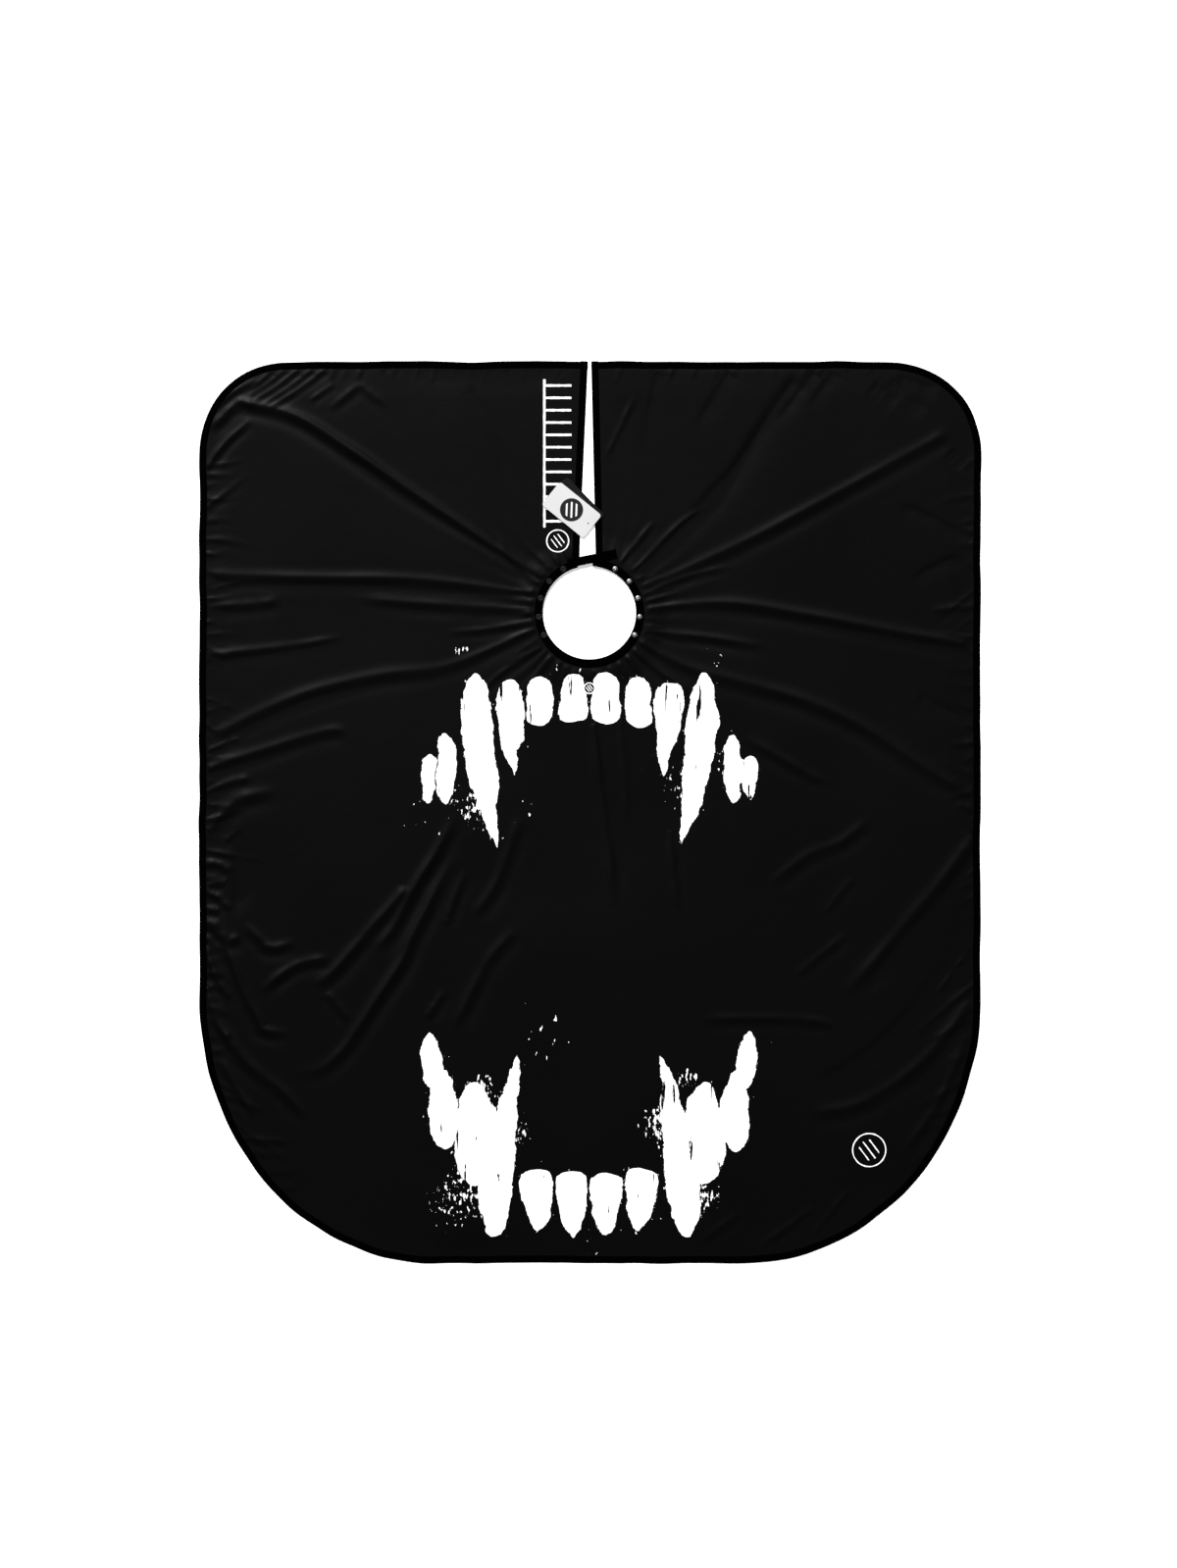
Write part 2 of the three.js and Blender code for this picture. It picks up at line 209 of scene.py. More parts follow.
class Finish:
    """A material under construction."""

    def __init__(self, name, **constants):
        self.material = bpy.data.materials.new(name)
        self.material.use_nodes = True
        self.tree = self.material.node_tree
        self.shader = self.tree.nodes["Principled BSDF"]
        for socket, value in constants.items():
            self.shader.inputs[socket.replace("_", " ")].default_value = value

    def add(self, kind, settings, *values, output=0, **named):
        node = self.tree.nodes.new(kind)
        for key, value in settings.items():
            setattr(node, key, value)
        for key, value in [*enumerate(values), *named.items()]:
            socket = node.inputs[key if isinstance(key, int) else key.replace("_", " ")]
            if isinstance(value, Value):
                self.tree.links.new(value.socket, socket)
            elif value is not None:
                socket.default_value = value
        return Value(self, node.outputs[output])

    def drive(self, **sockets):
        for name, value in sockets.items():
            self.tree.links.new(value.socket, self.shader.inputs[name.replace("_", " ")])

    def place(self):
        """Object coordinates, in metres."""
        return self.add("ShaderNodeTexCoord", {}, output="Object")

    def flat_place(self, width, length):
        """Coordinates in metres on the flat cut, from the piece's own UV map, centred on the cut."""
        uv = self.add("ShaderNodeUVMap", {"uv_map": "flat_cut"})
        return self.add(
            "ShaderNodeVectorMath", {"operation": "MULTIPLY_ADD"},
            uv, (width, length, 1.0), (-width / 2, -length / 2, 0.0),
        )

    def split(self, vector):
        node = self.tree.nodes.new("ShaderNodeSeparateXYZ")
        self.tree.links.new(vector.socket, node.inputs[0])
        return Value(self, node.outputs["X"]), Value(self, node.outputs["Y"])

    def noise(self, vector, scale, detail=2.0, roughness=0.5):
        values = {"Vector": vector, "Scale": scale, "Detail": detail, "Roughness": roughness}
        return self.add("ShaderNodeTexNoise", {}, output="Fac", **values)

    def mix(self, share, first, second):
        node = self.tree.nodes.new("ShaderNodeMix")
        node.data_type = "RGBA"
        colour_sockets = [s for s in node.inputs if s.type == "RGBA"]
        factor = next(s for s in node.inputs if s.type == "VALUE")
        self.tree.links.new(share.socket, factor)
        for socket, value in zip(colour_sockets, (first, second)):
            if isinstance(value, Value):
                self.tree.links.new(value.socket, socket)
            else:
                socket.default_value = (*value, 1.0)
        return Value(self, next(s for s in node.outputs if s.type == "RGBA"))

    def vary(self, share, colour, low, high):
        """The colour, from low times as bright to high times as bright."""
        return self.mix(share, [c * low for c in colour], [c * high for c in colour])

    def stretch(self, vector, factors):
        return self.add("ShaderNodeVectorMath", {"operation": "MULTIPLY"}, vector, factors)

    def ribs(self, place, scale, distortion=0.0):
        """Fine slanted ribs, as of twisted thread or twill."""
        return self.add(
            "ShaderNodeTexWave", {"wave_type": "BANDS", "bands_direction": "DIAGONAL"},
            Vector=place, Scale=scale, Distortion=distortion, output="Fac",
        )

    def bump(self, height, strength, distance, under=None):
        values = {"Strength": strength, "Distance": distance, "Height": height, "Normal": under}
        return self.add("ShaderNodeBump", {}, output="Normal", **values)


# ------------------------------------------------------------------ printed motifs


def tooth(across, y, centre, root, tip, half_width, taper, point, lean=0.0, shoulder=6.0, flare=0.0):
    """How far a place lies inside one tooth that runs from root to tip. A high taper keeps it wide almost to
    the tip, point rounds the tip, shoulder rounds the root, flare narrows the root, lean bends the tip."""
    held = ((y - root) / (tip - root)).most(0.0).least(1.0)
    middle = across - centre - held * held * lean
    end = (1.0 - held.power(taper)).power(point)
    start = (1.0 - (1.0 - held).power(shoulder)).power(0.5)
    width = end * start * (1.0 - (1.0 - held) * flare) * half_width
    beyond = (abs(y - (root + tip) / 2) - abs(tip - root) / 2).most(0.0)
    return width - abs(middle) - beyond


def fang_motif(x, y):
    """Two facing rows of plain teeth, nearly alike on both sides of the middle line."""
    across = abs(x - NECK_X)
    shapes = [
        (0.0265, 0.229, 0.149, 0.0255, 12, 0.5, 0.0, 8, 0.22),
        (0.081, 0.228, 0.145, 0.0245, 10, 0.5, 0.003, 8, 0.2),
        (0.132, 0.220, 0.062, 0.0285, 1.25, 0.72, -0.008, 7, 0.0),
        (0.190, 0.232, -0.055, 0.0355, 1.9, 0.85, -0.036, 3.2, 0.0),
        (0.238, 0.131, 0.014, 0.0175, 4, 0.6, 0.002, 5, 0.1),
        (0.266, 0.096, 0.019, 0.0135, 3, 0.6, 0.0, 5, 0.1),
        (0.029, -0.600, -0.707, 0.0275, 2.4, 0.7, -0.004, 16, 0.0),
        (0.087, -0.592, -0.697, 0.0275, 2.4, 0.7, -0.004, 16, 0.0),
        (0.160, -0.704, -0.405, 0.0390, 1.5, 0.8, -0.042, 3.5, 0.0),
        (0.189, -0.618, -0.448, 0.0360, 4, 0.6, 0.0, 5, 0.0),
        (0.241, -0.562, -0.428, 0.0270, 3.2, 0.6, 0.004, 4, 0.0),
        (0.260, -0.456, -0.368, 0.0195, 2.2, 0.6, 0.003, 4, 0.0),
    ]
    inside = None
    for shape in shapes:
        one = tooth(across, y, *shape)
        inside = one if inside is None else inside.most(one)
    return inside


def from_centre(x, y, centre_x, centre_y):
    dx, dy = x - centre_x, y - centre_y
    return (dx * dx + dy * dy).power(0.5)


def spots(x, y, places):
    """1 in the middle of each place (x, y, radius, strength) and 0 outside it."""
    total = None
    for place_x, place_y, radius, strength in places:
        one = from_centre(x, y, place_x, place_y).step(radius, radius * 0.15) * strength
        total = one if total is None else total.most(one)
    return total


def disc(x, y, centre_x, centre_y, radius):
    """How far a place lies inside a plain disc."""
    return radius - from_centre(x, y, centre_x, centre_y)


def ring(x, y, centre_x, centre_y, radius, line):
    """How far a place lies inside the line of a plain ring."""
    return line / 2 - abs(from_centre(x, y, centre_x, centre_y) - radius)


def slanted_bars(x, y, centre_x, centre_y, radius, line):
    """How far a place lies inside one of three plain slanted bars within a circle."""
    slant = abs((x - centre_x) * 0.8 + (y - centre_y) * 0.6)
    pitch = radius * 0.62
    off = slant - (slant / pitch).math("ROUND") * pitch
    return (line / 2 - abs(off)).least(disc(x, y, centre_x, centre_y, radius))


def pole_mark(x, y, centre_x, centre_y, radius, line):
    """A plain ring with three slanted bars in it."""
    bars = slanted_bars(x, y, centre_x, centre_y, radius * 0.62, line)
    return ring(x, y, centre_x, centre_y, radius, line).most(bars)


def comb_mark(x, y):
    """A plain comb beside the slit, with its teeth across the cape."""
    spine_x, edge_x, half = -0.0758, -0.031, 0.0018
    low, high, pitch = 0.474, 0.720, 0.0205
    ends = (high - y).least(y - low)
    spine = (half - abs(x - spine_x)).least(ends)
    along = abs(((y - low) / pitch).math("FRACT") - 0.5) * pitch
    teeth = (half - along).least((edge_x - x).least(x - spine_x)).least(ends)
    return spine.most(teeth)


def torn_teeth(finish, place, streaks, x, y):
    """The motif with a ragged edge and fine cracks, how far a place lies inside it, and the raggedness."""
    sway = finish.add("ShaderNodeTexNoise", {}, Vector=place, Scale=17.0, Detail=2.0, output="Color")
    across, along = finish.split(sway)
    ragged = (finish.noise(streaks, 120.0, 6.0, 0.7) - 0.5) * 0.014
    inside = fang_motif(x + (across - 0.5) * 0.022, y + (along - 0.5) * 0.022)
    cracks = finish.noise(finish.stretch(place, (70.0, 8.0, 1.0)), 1.0, 5.0, 0.6).step(0.64, 0.65)
    return (inside + ragged).step(-0.0004, 0.0006) * (1.0 - cracks), inside, ragged


def spattered(finish, streaks, x, y, inside):
    """Flecks of ink crowded round the motif, and a few larger drops farther off."""
    flecks = finish.noise(streaks, 190.0, 3.0, 0.6)
    drops = finish.noise(streaks, 95.0, 3.0, 0.6)
    crowded = spots(x, y, [
        (-0.222, -0.640, 0.075, 1.0), (0.112, -0.520, 0.055, 1.1), (-0.196, 0.005, 0.055, 1.0),
        (0.236, 0.075, 0.040, 0.8), (-0.178, -0.455, 0.040, 1.0), (0.190, -0.640, 0.050, 1.0),
        (-0.118, -0.530, 0.040, 0.8), (0.140, 0.050, 0.060, 0.6), (0.165, -0.440, 0.035, 0.9),
    ])
    sparse = spots(x, y, [
        (-0.212, 0.262, 0.050, 1.0), (0.205, 0.262, 0.050, 1.0), (-0.080, -0.370, 0.090, 0.8),
        (-0.290, -0.020, 0.080, 0.8), (0.0, -0.735, 0.060, 0.8), (-0.100, 0.005, 0.050, 0.9),
        (0.060, -0.725, 0.060, 0.8), (0.280, -0.385, 0.050, 0.8), (-0.030, 0.243, 0.060, 0.9),
    ])
    near = inside.step(-0.022, -0.002)
    fine = (flecks + crowded * 0.17 + near * 0.05).step(0.745, 0.755) * crowded.most(near).step(0.0, 0.02)
    return fine.most((drops + sparse * 0.16).step(0.785, 0.795) * sparse.step(0.0, 0.02))


def printed_ink(finish, place, x, y):
    """1 where the cloth is printed and 0 elsewhere."""
    streaks = finish.stretch(place, (1.0, 0.45, 1.0))
    teeth, inside, ragged = torn_teeth(finish, place, streaks, x, y)
    spatter = spattered(finish, streaks, x, y, inside)
    marks = pole_mark(x, y, 0.464, -0.561, 0.0275, 0.0017)
    marks = marks.most(pole_mark(x, y, -0.0536, 0.4515, 0.0182, 0.0015)).most(comb_mark(x, y))
    mark = (marks + ragged * 0.16).step(-0.0003, 0.0003)
    badge_y, badge_radius = 0.2066, 0.0088
    badge = ring(x, y, NECK_X, badge_y, badge_radius, 0.0014)
    badge = badge.most(slanted_bars(x, y, NECK_X, badge_y, 0.0058, 0.0012))
    ground = disc(x, y, NECK_X, badge_y, badge_radius).step(-0.0004, 0.0004)
    return (teeth.most(spatter).most(mark) * (1.0 - ground)).most(badge.step(-0.0003, 0.0003))


def cloth_finish(settings, printed):
    finish = Finish("printed_satin" if printed else "plain_satin", Specular_IOR_Level=0.055)
    place = finish.flat_place(2 * HALF_WIDTH, 2 * HALF_LENGTH)
    x, y = finish.split(place)
    weave = (x * 5200.0).math("SINE") * (y * 5200.0).math("SINE")
    crinkle = finish.noise(place, 130.0, 3.0, 0.55)
    swell = finish.noise(place, 28.0)
    tone = finish.noise(place, 3.0)
    base = finish.vary(tone, settings.cloth_colour, 0.8, 1.25)
    rough = tone * 0.06 + 0.43
    if printed:
        ink = printed_ink(finish, place, x, y)
        base = finish.mix(ink, base, settings.print_colour)
        rough = rough + ink * 0.25
    creased = finish.bump(crinkle, 0.22, 0.0004, finish.bump(swell, 0.25, 0.0012))
    finish.drive(Base_Color=base, Roughness=rough, Normal=finish.bump(weave, 0.12, 0.00003, creased))
    return finish.material


def tape_finish(settings):
    finish = Finish("woven_tape", Specular_IOR_Level=0.004)
    place = finish.place()
    pucker = finish.noise(place, 260.0, 3.0, 0.6)
    tone = finish.noise(place, 40.0)
    finish.drive(
        Base_Color=finish.vary(tone, settings.tape_colour, 0.6, 1.5),
        Roughness=tone * 0.15 + 0.62,
        Normal=finish.bump(finish.ribs(place, 900.0, 0.4), 0.15, 0.0001, finish.bump(pucker, 0.3, 0.0005)),
    )
    return finish.material


def thread_finish():
    finish = Finish("black_thread", Specular_IOR_Level=0.01)
    twist = finish.ribs(finish.place(), 2500.0)
    finish.drive(
        Base_Color=finish.mix(twist, (0.0002, 0.0002, 0.0002), (0.0007, 0.0007, 0.0007)),
        Roughness=twist * 0.1 + 0.5,
        Normal=finish.bump(twist, 0.3, 0.0001),
    )
    return finish.material


def metal_finish(name, colour, metallic, roughness, specular=0.5):
    finish = Finish(name, Metallic=metallic, Specular_IOR_Level=specular)
    place = finish.place()
    wear = finish.noise(place, 900.0, 4.0, 0.6)
    smear = finish.noise(place, 160.0)
    finish.drive(
        Base_Color=finish.vary(smear, colour, 0.85, 1.0),
        Roughness=smear * 0.12 + wear * 0.06 + roughness,
        Normal=finish.bump(wear, 0.08, 0.00005),
    )
    return finish.material


def stiffener_finish():
    finish = Finish("felted_stiffener", Specular_IOR_Level=0.2)
    fibres = finish.noise(finish.place(), 700.0, 5.0, 0.7)
    finish.drive(
        Base_Color=finish.mix(fibres, (0.5, 0.5, 0.48), (0.75, 0.75, 0.72)),
        Roughness=fibres * 0.1 + 0.85,
        Normal=finish.bump(fibres, 0.3, 0.0002),
    )
    return finish.material


def card_finish(name, paper, badge, mark, settings):
    """Coated card with a round badge in its middle and soft patches of painted shade. Its UV map runs over
    the flat card.
    """
    finish = Finish(name, Specular_IOR_Level=0.13)
    place = finish.flat_place(settings.length, settings.width)
    x, y = finish.split(place)
    grain = finish.noise(place, 600.0, 4.0, 0.6)
    # painted shade: soft noise darkens the paper by up to a sixth, standing in for the shading over the
    # card's curl
    shade = finish.noise(place, 14.0, 1.0)
    badge_radius, soft = 0.0193, 0.0002
    inside = disc(x, y, 0.0, 0.0, badge_radius).step(-soft, soft)
    bars = slanted_bars(x, y, 0.0, 0.0, badge_radius * 0.68, 0.0028).step(-soft, soft)
    colour = finish.mix(inside, finish.vary(shade, paper, 0.84, 1.0), badge)
    finish.drive(
        Base_Color=finish.mix(bars, colour, mark),
        Roughness=grain * 0.1 + 0.38,
        Normal=finish.bump(grain, 0.06, 0.00005),
    )
    return finish.material


# ------------------------------------------------------------------ outline of the cape


def slit_x(side, y, inset=0.0):
    """x of the slit's edge at height y, moved inset into the cloth. side is -1 for left and 1 for right."""
    low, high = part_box("left_slit_binding" if side < 0 else "right_slit_binding")
    neck, back = (low.x, high.x) if side < 0 else (high.x, low.x)
    width = bpy.context.scene.cape_binding.width
    neck_edge = neck + (width if side < 0 else -width)
    share = (HALF_LENGTH - y) / (high.y - low.y)
    return back + (neck_edge - back) * share + side * inset


def round_corners(x, y, inset):
    """x and y pulled inside the outline moved in by inset, and how far into a corner's ellipse each lies."""
    s = bpy.context.scene.cape_cloth
    x = np.clip(x, inset - HALF_WIDTH, HALF_WIDTH - inset)
    y = np.clip(y, inset - HALF_LENGTH, HALF_LENGTH - inset)
    out_x, out_y = x.copy(), y.copy()
    reach = np.zeros_like(x)
    corners = ((1, s.back_corner, s.back_corner), (-1, s.hem_corner_width, s.hem_corner_height))
    for way, width, height in corners:
        cx, cy = HALF_WIDTH - width, way * (HALF_LENGTH - height)
        dx = (np.abs(x) - cx) / (width - inset)
        dy = (y - cy) * way / (height - inset)
        there = (dx > 0) & (dy > 0)
        norm = np.hypot(dx, dy)
        reach = np.where(there, norm, reach)
        shrink = np.where(there & (norm > 1), 1 / np.maximum(norm, 1e-9), 1.0)
        out_x = np.where(there, np.sign(x) * (cx + dx * shrink * (width - inset)), out_x)
        out_y = np.where(there, cy + dy * shrink * (height - inset) * way, out_y)
    return out_x, out_y, reach


def edge_path(side, spacing):
    """Points of the outer edge from the slit round to the middle of the hem, on one side."""
    s = bpy.context.scene.cape_cloth
    points = [(slit_x(side, HALF_LENGTH), HALF_LENGTH)]
    corners = (
        (s.back_corner, s.back_corner, HALF_LENGTH - s.back_corner, np.linspace(math.pi / 2, 0, 60)),
        (s.hem_corner_width, s.hem_corner_height, s.hem_corner_height - HALF_LENGTH,
         np.linspace(0, -math.pi / 2, 120)),
    )
    for width, height, middle, turns in corners:
        points += [
            (side * (HALF_WIDTH - width + width * math.cos(t)), middle + height * math.sin(t)) for t in turns
        ]
    points.append((NECK_X, -HALF_LENGTH))
    return resample(np.array(points), spacing)


def resample(points, spacing):
    steps = np.hypot(*np.diff(points, axis=0).T)
    run = np.concatenate([[0], np.cumsum(steps)])
    count = max(2, int(round(run[-1] / spacing)) + 1)
    even = np.linspace(0, run[-1], count)
    return np.stack([np.interp(even, run, points[:, k]) for k in (0, 1)], 1)


# ------------------------------------------------------------------ folds

# Each fold is its height and half width, then the places that its crest runs through, all in millimetres.
# A negative height is a furrow. The built fold is FOLD_HEIGHT times as high and FOLD_SPREAD times as wide.
FOLD_HEIGHT, FOLD_SPREAD, LEAST_SPREAD = 0.6, 1.1, 4.6
NECK_FOLDS = [
    (6.4, 8, [(-72, 385), (-290, 530), (-400, 605), (-490, 660), (-584, 684)]),
    (3.6, 8, [(-88, 365), (-290, 388), (-455, 391), (-640, 396)]),
    (2.4, 7, [(-95, 338), (-250, 346), (-400, 357)]),
    (3.4, 9, [(-95, 303), (-235, 245), (-345, 230), (-455, 205), (-540, 172), (-632, 125)]),
    (-1.2, 5, [(-72, 406), (-121, 504), (-154, 613), (-200, 712)]),
    (2.9, 8, [(85, 373), (255, 450), (418, 536), (600, 636)]),
    (-3.4, 9, [(80, 389), (148, 462), (194, 514), (246, 577), (299, 662), (346, 727)]),
    (4.0, 8, [(92, 340), (227, 349), (363, 329), (526, 298), (638, 280)]),
    (2.8, 6, [(88, 302), (199, 291), (297, 275)]),
    (3.6, 9, [(80, 285), (162, 243), (281, 210), (363, 185), (444, 149), (526, 96), (630, 30)]),
    (2.2, 5, [(52, 417), (108, 487)]),
    (2.0, 5, [(70, 400), (150, 480), (215, 520)]),
    (1.8, 5, [(88, 362), (160, 392), (240, 412)]),
    (1.8, 5, [(70, 268), (130, 225), (175, 190)]),
    (1.6, 5, [(-80, 275), (-150, 230), (-190, 190)]),
    (1.6, 5, [(-90, 322), (-170, 305), (-240, 300)]),
    (1.5, 4, [(-82, 378), (-130, 420), (-160, 470)]),
    (3.2, 8, [(6, 150), (16, 50), (30, -60), (40, -165)]),
    (1.6, 7, [(50, 150), (56, 70), (62, -30)]),
    (1.8, 6, [(132, -30), (138, -100), (146, -168)]),
]
SIDE_FOLDS = [
    (2.4, 7, [(-640, 344), (-570, 346), (-510, 354)]),
    (2.8, 7, [(-640, 262), (-560, 270), (-480, 280), (-395, 295)]),
    (3.0, 8, [(-638, 74), (-536, 107), (-438, 136), (-398, 133)]),
    (3.8, 7, [(-570, 690), (-592, 678), (-614, 656), (-638, 630)]),
    (3.4, 5, [(-560, 656), (-602, 619), (-626, 590), (-644, 562)]),
    (1.7, 4, [(-440, 737), (-490, 700), (-545, 666)]),
    (1.3, 4, [(-462, 737), (-505, 704), (-550, 675)]),
    (1.6, 4, [(-484, 737), (-525, 706), (-564, 682)]),
    (1.2, 4, [(-506, 737), (-538, 712), (-572, 690)]),
    (1.4, 4, [(-528, 735), (-566, 702)]),
    (2.4, 5, [(-545, 724), (-588, 702), (-612, 682), (-636, 652)]),
    (1.4, 4, [(-424, 714), (-470, 682)]),
    (1.8, 6, [(-378, 716), (-436, 669)]),
    (1.4, 6, [(-386, 714), (-335, 674)]),
    (2.0, 5, [(-636, 102), (-600, 118), (-580, 124)]),
    (2.6, 6, [(-640, 34), (-598, 51), (-560, 58)]),
    (3.6, 9, [(-636, -32), (-608, 2), (-577, 25), (-514, 38)]),
    (4.6, 8, [(-305, -118), (-318, -140), (-359, -186), (-389, -221), (-430, -267), (-468, -292)]),
    (5.8, 8, [(-222, 2), (-252, -59), (-283, -109), (-308, -155), (-334, -201), (-361, -233)]),
    (4.8, 8, [(-224, -68), (-247, -109), (-272, -160), (-298, -211), (-313, -247), (-349, -302),
              (-389, -363), (-415, -399), (-454, -427), (-524, -432)]),
    (2.2, 6, [(-206, -90), (-232, -160), (-240, -190)]),
    (3.8, 7, [(-428, -241), (-476, -249), (-511, -267), (-554, -304)]),
    (-3.6, 7, [(-602, -42), (-588, -62), (-584, -122), (-588, -176)]),
    (2.0, 6, [(-440, -298), (-420, -318), (-398, -350)]),
    (3.6, 7, [(-576, -182), (-547, -211), (-527, -224), (-482, -212)]),
    (2.4, 6, [(-642, -86), (-618, -86), (-594, -100)]),
    (1.8, 5, [(-640, -120), (-613, -116), (-604, -118)]),
    (2.4, 5, [(-640, -128), (-613, -145), (-596, -164)]),
    (1.8, 5, [(-642, -156), (-612, -165)]),
    (3.4, 7, [(-640, -176), (-618, -191), (-600, -211), (-576, -202)]),
    (4.0, 7, [(-616, -200), (-593, -247), (-577, -292), (-552, -340), (-538, -362), (-484, -366)]),
    (3.6, 6, [(-642, -222), (-618, -277), (-596, -312)]),
    (3.0, 6, [(-638, -290), (-618, -353), (-594, -380)]),
    (3.6, 8, [(-630, -330), (-573, -411), (-508, -465), (-464, -514)]),
    (2.6, 6, [(-617, -406), (-585, -460), (-552, -509)]),
    (2.8, 8, [(-116, -2), (-137, -68), (-165, -133), (-202, -179)]),
    (3.2, 8, [(-119, -187), (-170, -247), (-202, -308), (-230, -367)]),
    (2.4, 6, [(-242, -296), (-274, -345)]),
    (2.4, 8, [(467, -7), (418, -47), (358, -73), (287, -128)]),
    (3.6, 10, [(640, -38), (581, -117), (526, -182), (472, -247), (412, -313)]),
    (1.2, 6, [(439, -105), (387, -169)]),
    (1.4, 6, [(434, -195), (336, -275)]),
    (2.0, 7, [(170, -342), (336, -342), (418, -354)]),
    (-2.4, 9, [(635, -177), (581, -269), (500, -367), (418, -430), (363, -448)]),
    (2.2, 7, [(638, -215), (570, -308)]),
    (2.8, 9, [(634, -313), (554, -411), (472, -471), (418, -492), (358, -497)]),
    (2.0, 7, [(630, -367), (581, -476), (516, -574)]),
    (1.4, 6, [(434, -623), (363, -710)]),
    (1.4, 6, [(379, -651), (276, -726)]),
    (1.2, 6, [(255, -660), (173, -721)]),
    (2.2, 7, [(255, 128), (330, 84), (407, 42)]),
    (-1.2, 7, [(232, 732), (173, 634)]),
    (-1.4, 6, [(374, 732), (309, 646)]),
    (-1.2, 6, [(407, 732), (363, 672)]),
    (-0.9, 6, [(113, 732), (80, 564)]),
    (-1.8, 6, [(509, 514), (583, 483), (630, 448)]),
    (-1.2, 8, [(467, 714), (514, 680)]),
    (-1.4, 8, [(496, 722), (562, 662)]),
    (-1.4, 8, [(509, 722), (583, 702)]),
    (-1.6, 6, [(598, 604), (624, 575)]),
    (-1.8, 6, [(528, 380), (572, 409), (609, 420), (632, 402)]),
    (1.6, 6, [(565, 336), (635, 345)]),
    (-1.4, 6, [(542, 198), (635, 149)]),
    (1.4, 5, [(23, 585), (50, 640), (75, 695)]),
]


def in_metres(fold):
    """The fold with its places in metres. Its height and half width stay in millimetres."""
    height, width, places = fold
    return height, width, [(x / 1000, y / 1000) for x, y in places]


def smooth_curve(points, per_span=8):
    """A curve through the points, by Catmull and Rom's rule."""
    p = np.array(points, float)
    p = np.vstack([2 * p[0] - p[1], p, 2 * p[-1] - p[-2]])
    t = np.linspace(0, 1, per_span, endpoint=False)[:, None]
    spans = [
        0.5 * (2 * b + (c - a) * t + (2 * a - 5 * b + 4 * c - d) * t**2 + (3 * b - a - 3 * c + d) * t**3)
        for a, b, c, d in zip(p, p[1:], p[2:], p[3:])
    ]
    return np.vstack([*spans, p[-2:-1]])


def smoothstep(low, high, value):
    t = np.clip((value - low) / (high - low), 0, 1)
    return t * t * (3 - 2 * t)


def add_fold(total, x, y, fold, start_fade, end_fade, taper):
    """Adds one fold's height to total: a crest, with a shallow valley on its side towards the hem. A taper
    makes the fold's start narrower and lower by that share."""
    height, width, points = fold
    height, width = height * FOLD_HEIGHT * MM, max(width * FOLD_SPREAD, LEAST_SPREAD) * MM
    line = smooth_curve(points)
    low, high = line.min(0) - 4.4 * width, line.max(0) + 4.4 * width
    near = (x > low[0]) & (x < high[0]) & (y > low[1]) & (y < high[1])
    if not near.any():
        return
    p = np.stack([x[near], y[near]], 1)
    best, share, signed = np.full(len(p), 1e9), np.zeros(len(p)), np.zeros(len(p))
    spans = len(line) - 1
    run = line[-1] - line[0]
    upper = 1 if 0.93 * run[0] + 0.35 * run[1] >= 0 else -1  # which side of the run faces the back edge
    for i in range(spans):
        a, along = line[i], line[i + 1] - line[i]
        t = np.clip((p - a) @ along / (along @ along), 0, 1)
        off = p - a - t[:, None] * along
        distance = np.hypot(off[:, 0], off[:, 1])
        closer = distance < best
        best[closer] = distance[closer]
        share[closer] = ((i + t) / spans)[closer]
        signed[closer] = (along[0] * off[:, 1] - along[1] * off[:, 0])[closer] * upper
    narrowed = 1 - taper * (1 - smoothstep(0, 0.3, share))
    off = np.where(signed > 0, best, -best) / (width * narrowed)
    if height > 0:
        profile = np.exp(-np.abs(off / 0.95) ** 1.8) - 0.45 * np.exp(-(((off + 1.9) / 1.15) ** 2))
    else:
        profile = np.exp(-np.abs(off / np.where(off > 0, 0.9, 2.2)) ** 1.8)
    fade = smoothstep(0, start_fade, share + 1e-6) * smoothstep(0, end_fade, 1 - share)
    ripple = 1 + 0.18 * np.sin(share * 9 + points[0][0] * 40) + 0.1 * np.sin(share * 23 + points[0][1] * 60)
    total[near] += height * narrowed * profile * fade * ripple


def edge_puckers(rng):
    """Short creases that run in from the bound edges, closest together down the left side."""
    found = []
    for side, bottom, count, strength in ((-1, -0.62, 48, 1.0), (1, -0.55, 40, 0.7)):
        for y in np.linspace(0.58, bottom, count):
            y = y + rng.uniform(-0.008, 0.008)
            x = side * 2.0
            for _ in range(4):
                x = round_corners(np.array([x]), np.array([y]), SEAM_INSET)[0][0]
            length = rng.uniform(0.025, 0.07) * (1.6 if rng.random() < 0.25 else 1)
            slope = rng.normal(0.05, 0.35) - 0.35 * (y < -0.05)
            found.append((
                rng.uniform(0.7, 2.5) * strength, rng.uniform(3.8, 6.4),
                [(x, y), (x - side * length * 0.5, y + slope * length * 0.5 + rng.normal(0, 0.002)),
                 (x - side * length, y + slope * length)],
            ))
    for side, count, strength in ((-1, 15, 0.8), (1, 12, 0.5)):
        for x in np.linspace(0.06, 0.46, count):
            x = side * (x + rng.uniform(-0.01, 0.01))
            length = rng.uniform(0.01, 0.035)
            found.append((
                rng.uniform(0.5, 1.6) * strength, rng.uniform(2.4, 4.0),
                [(x, HALF_LENGTH - SEAM_INSET), (x - 0.3 * length, HALF_LENGTH - SEAM_INSET - length)],
            ))
    return found


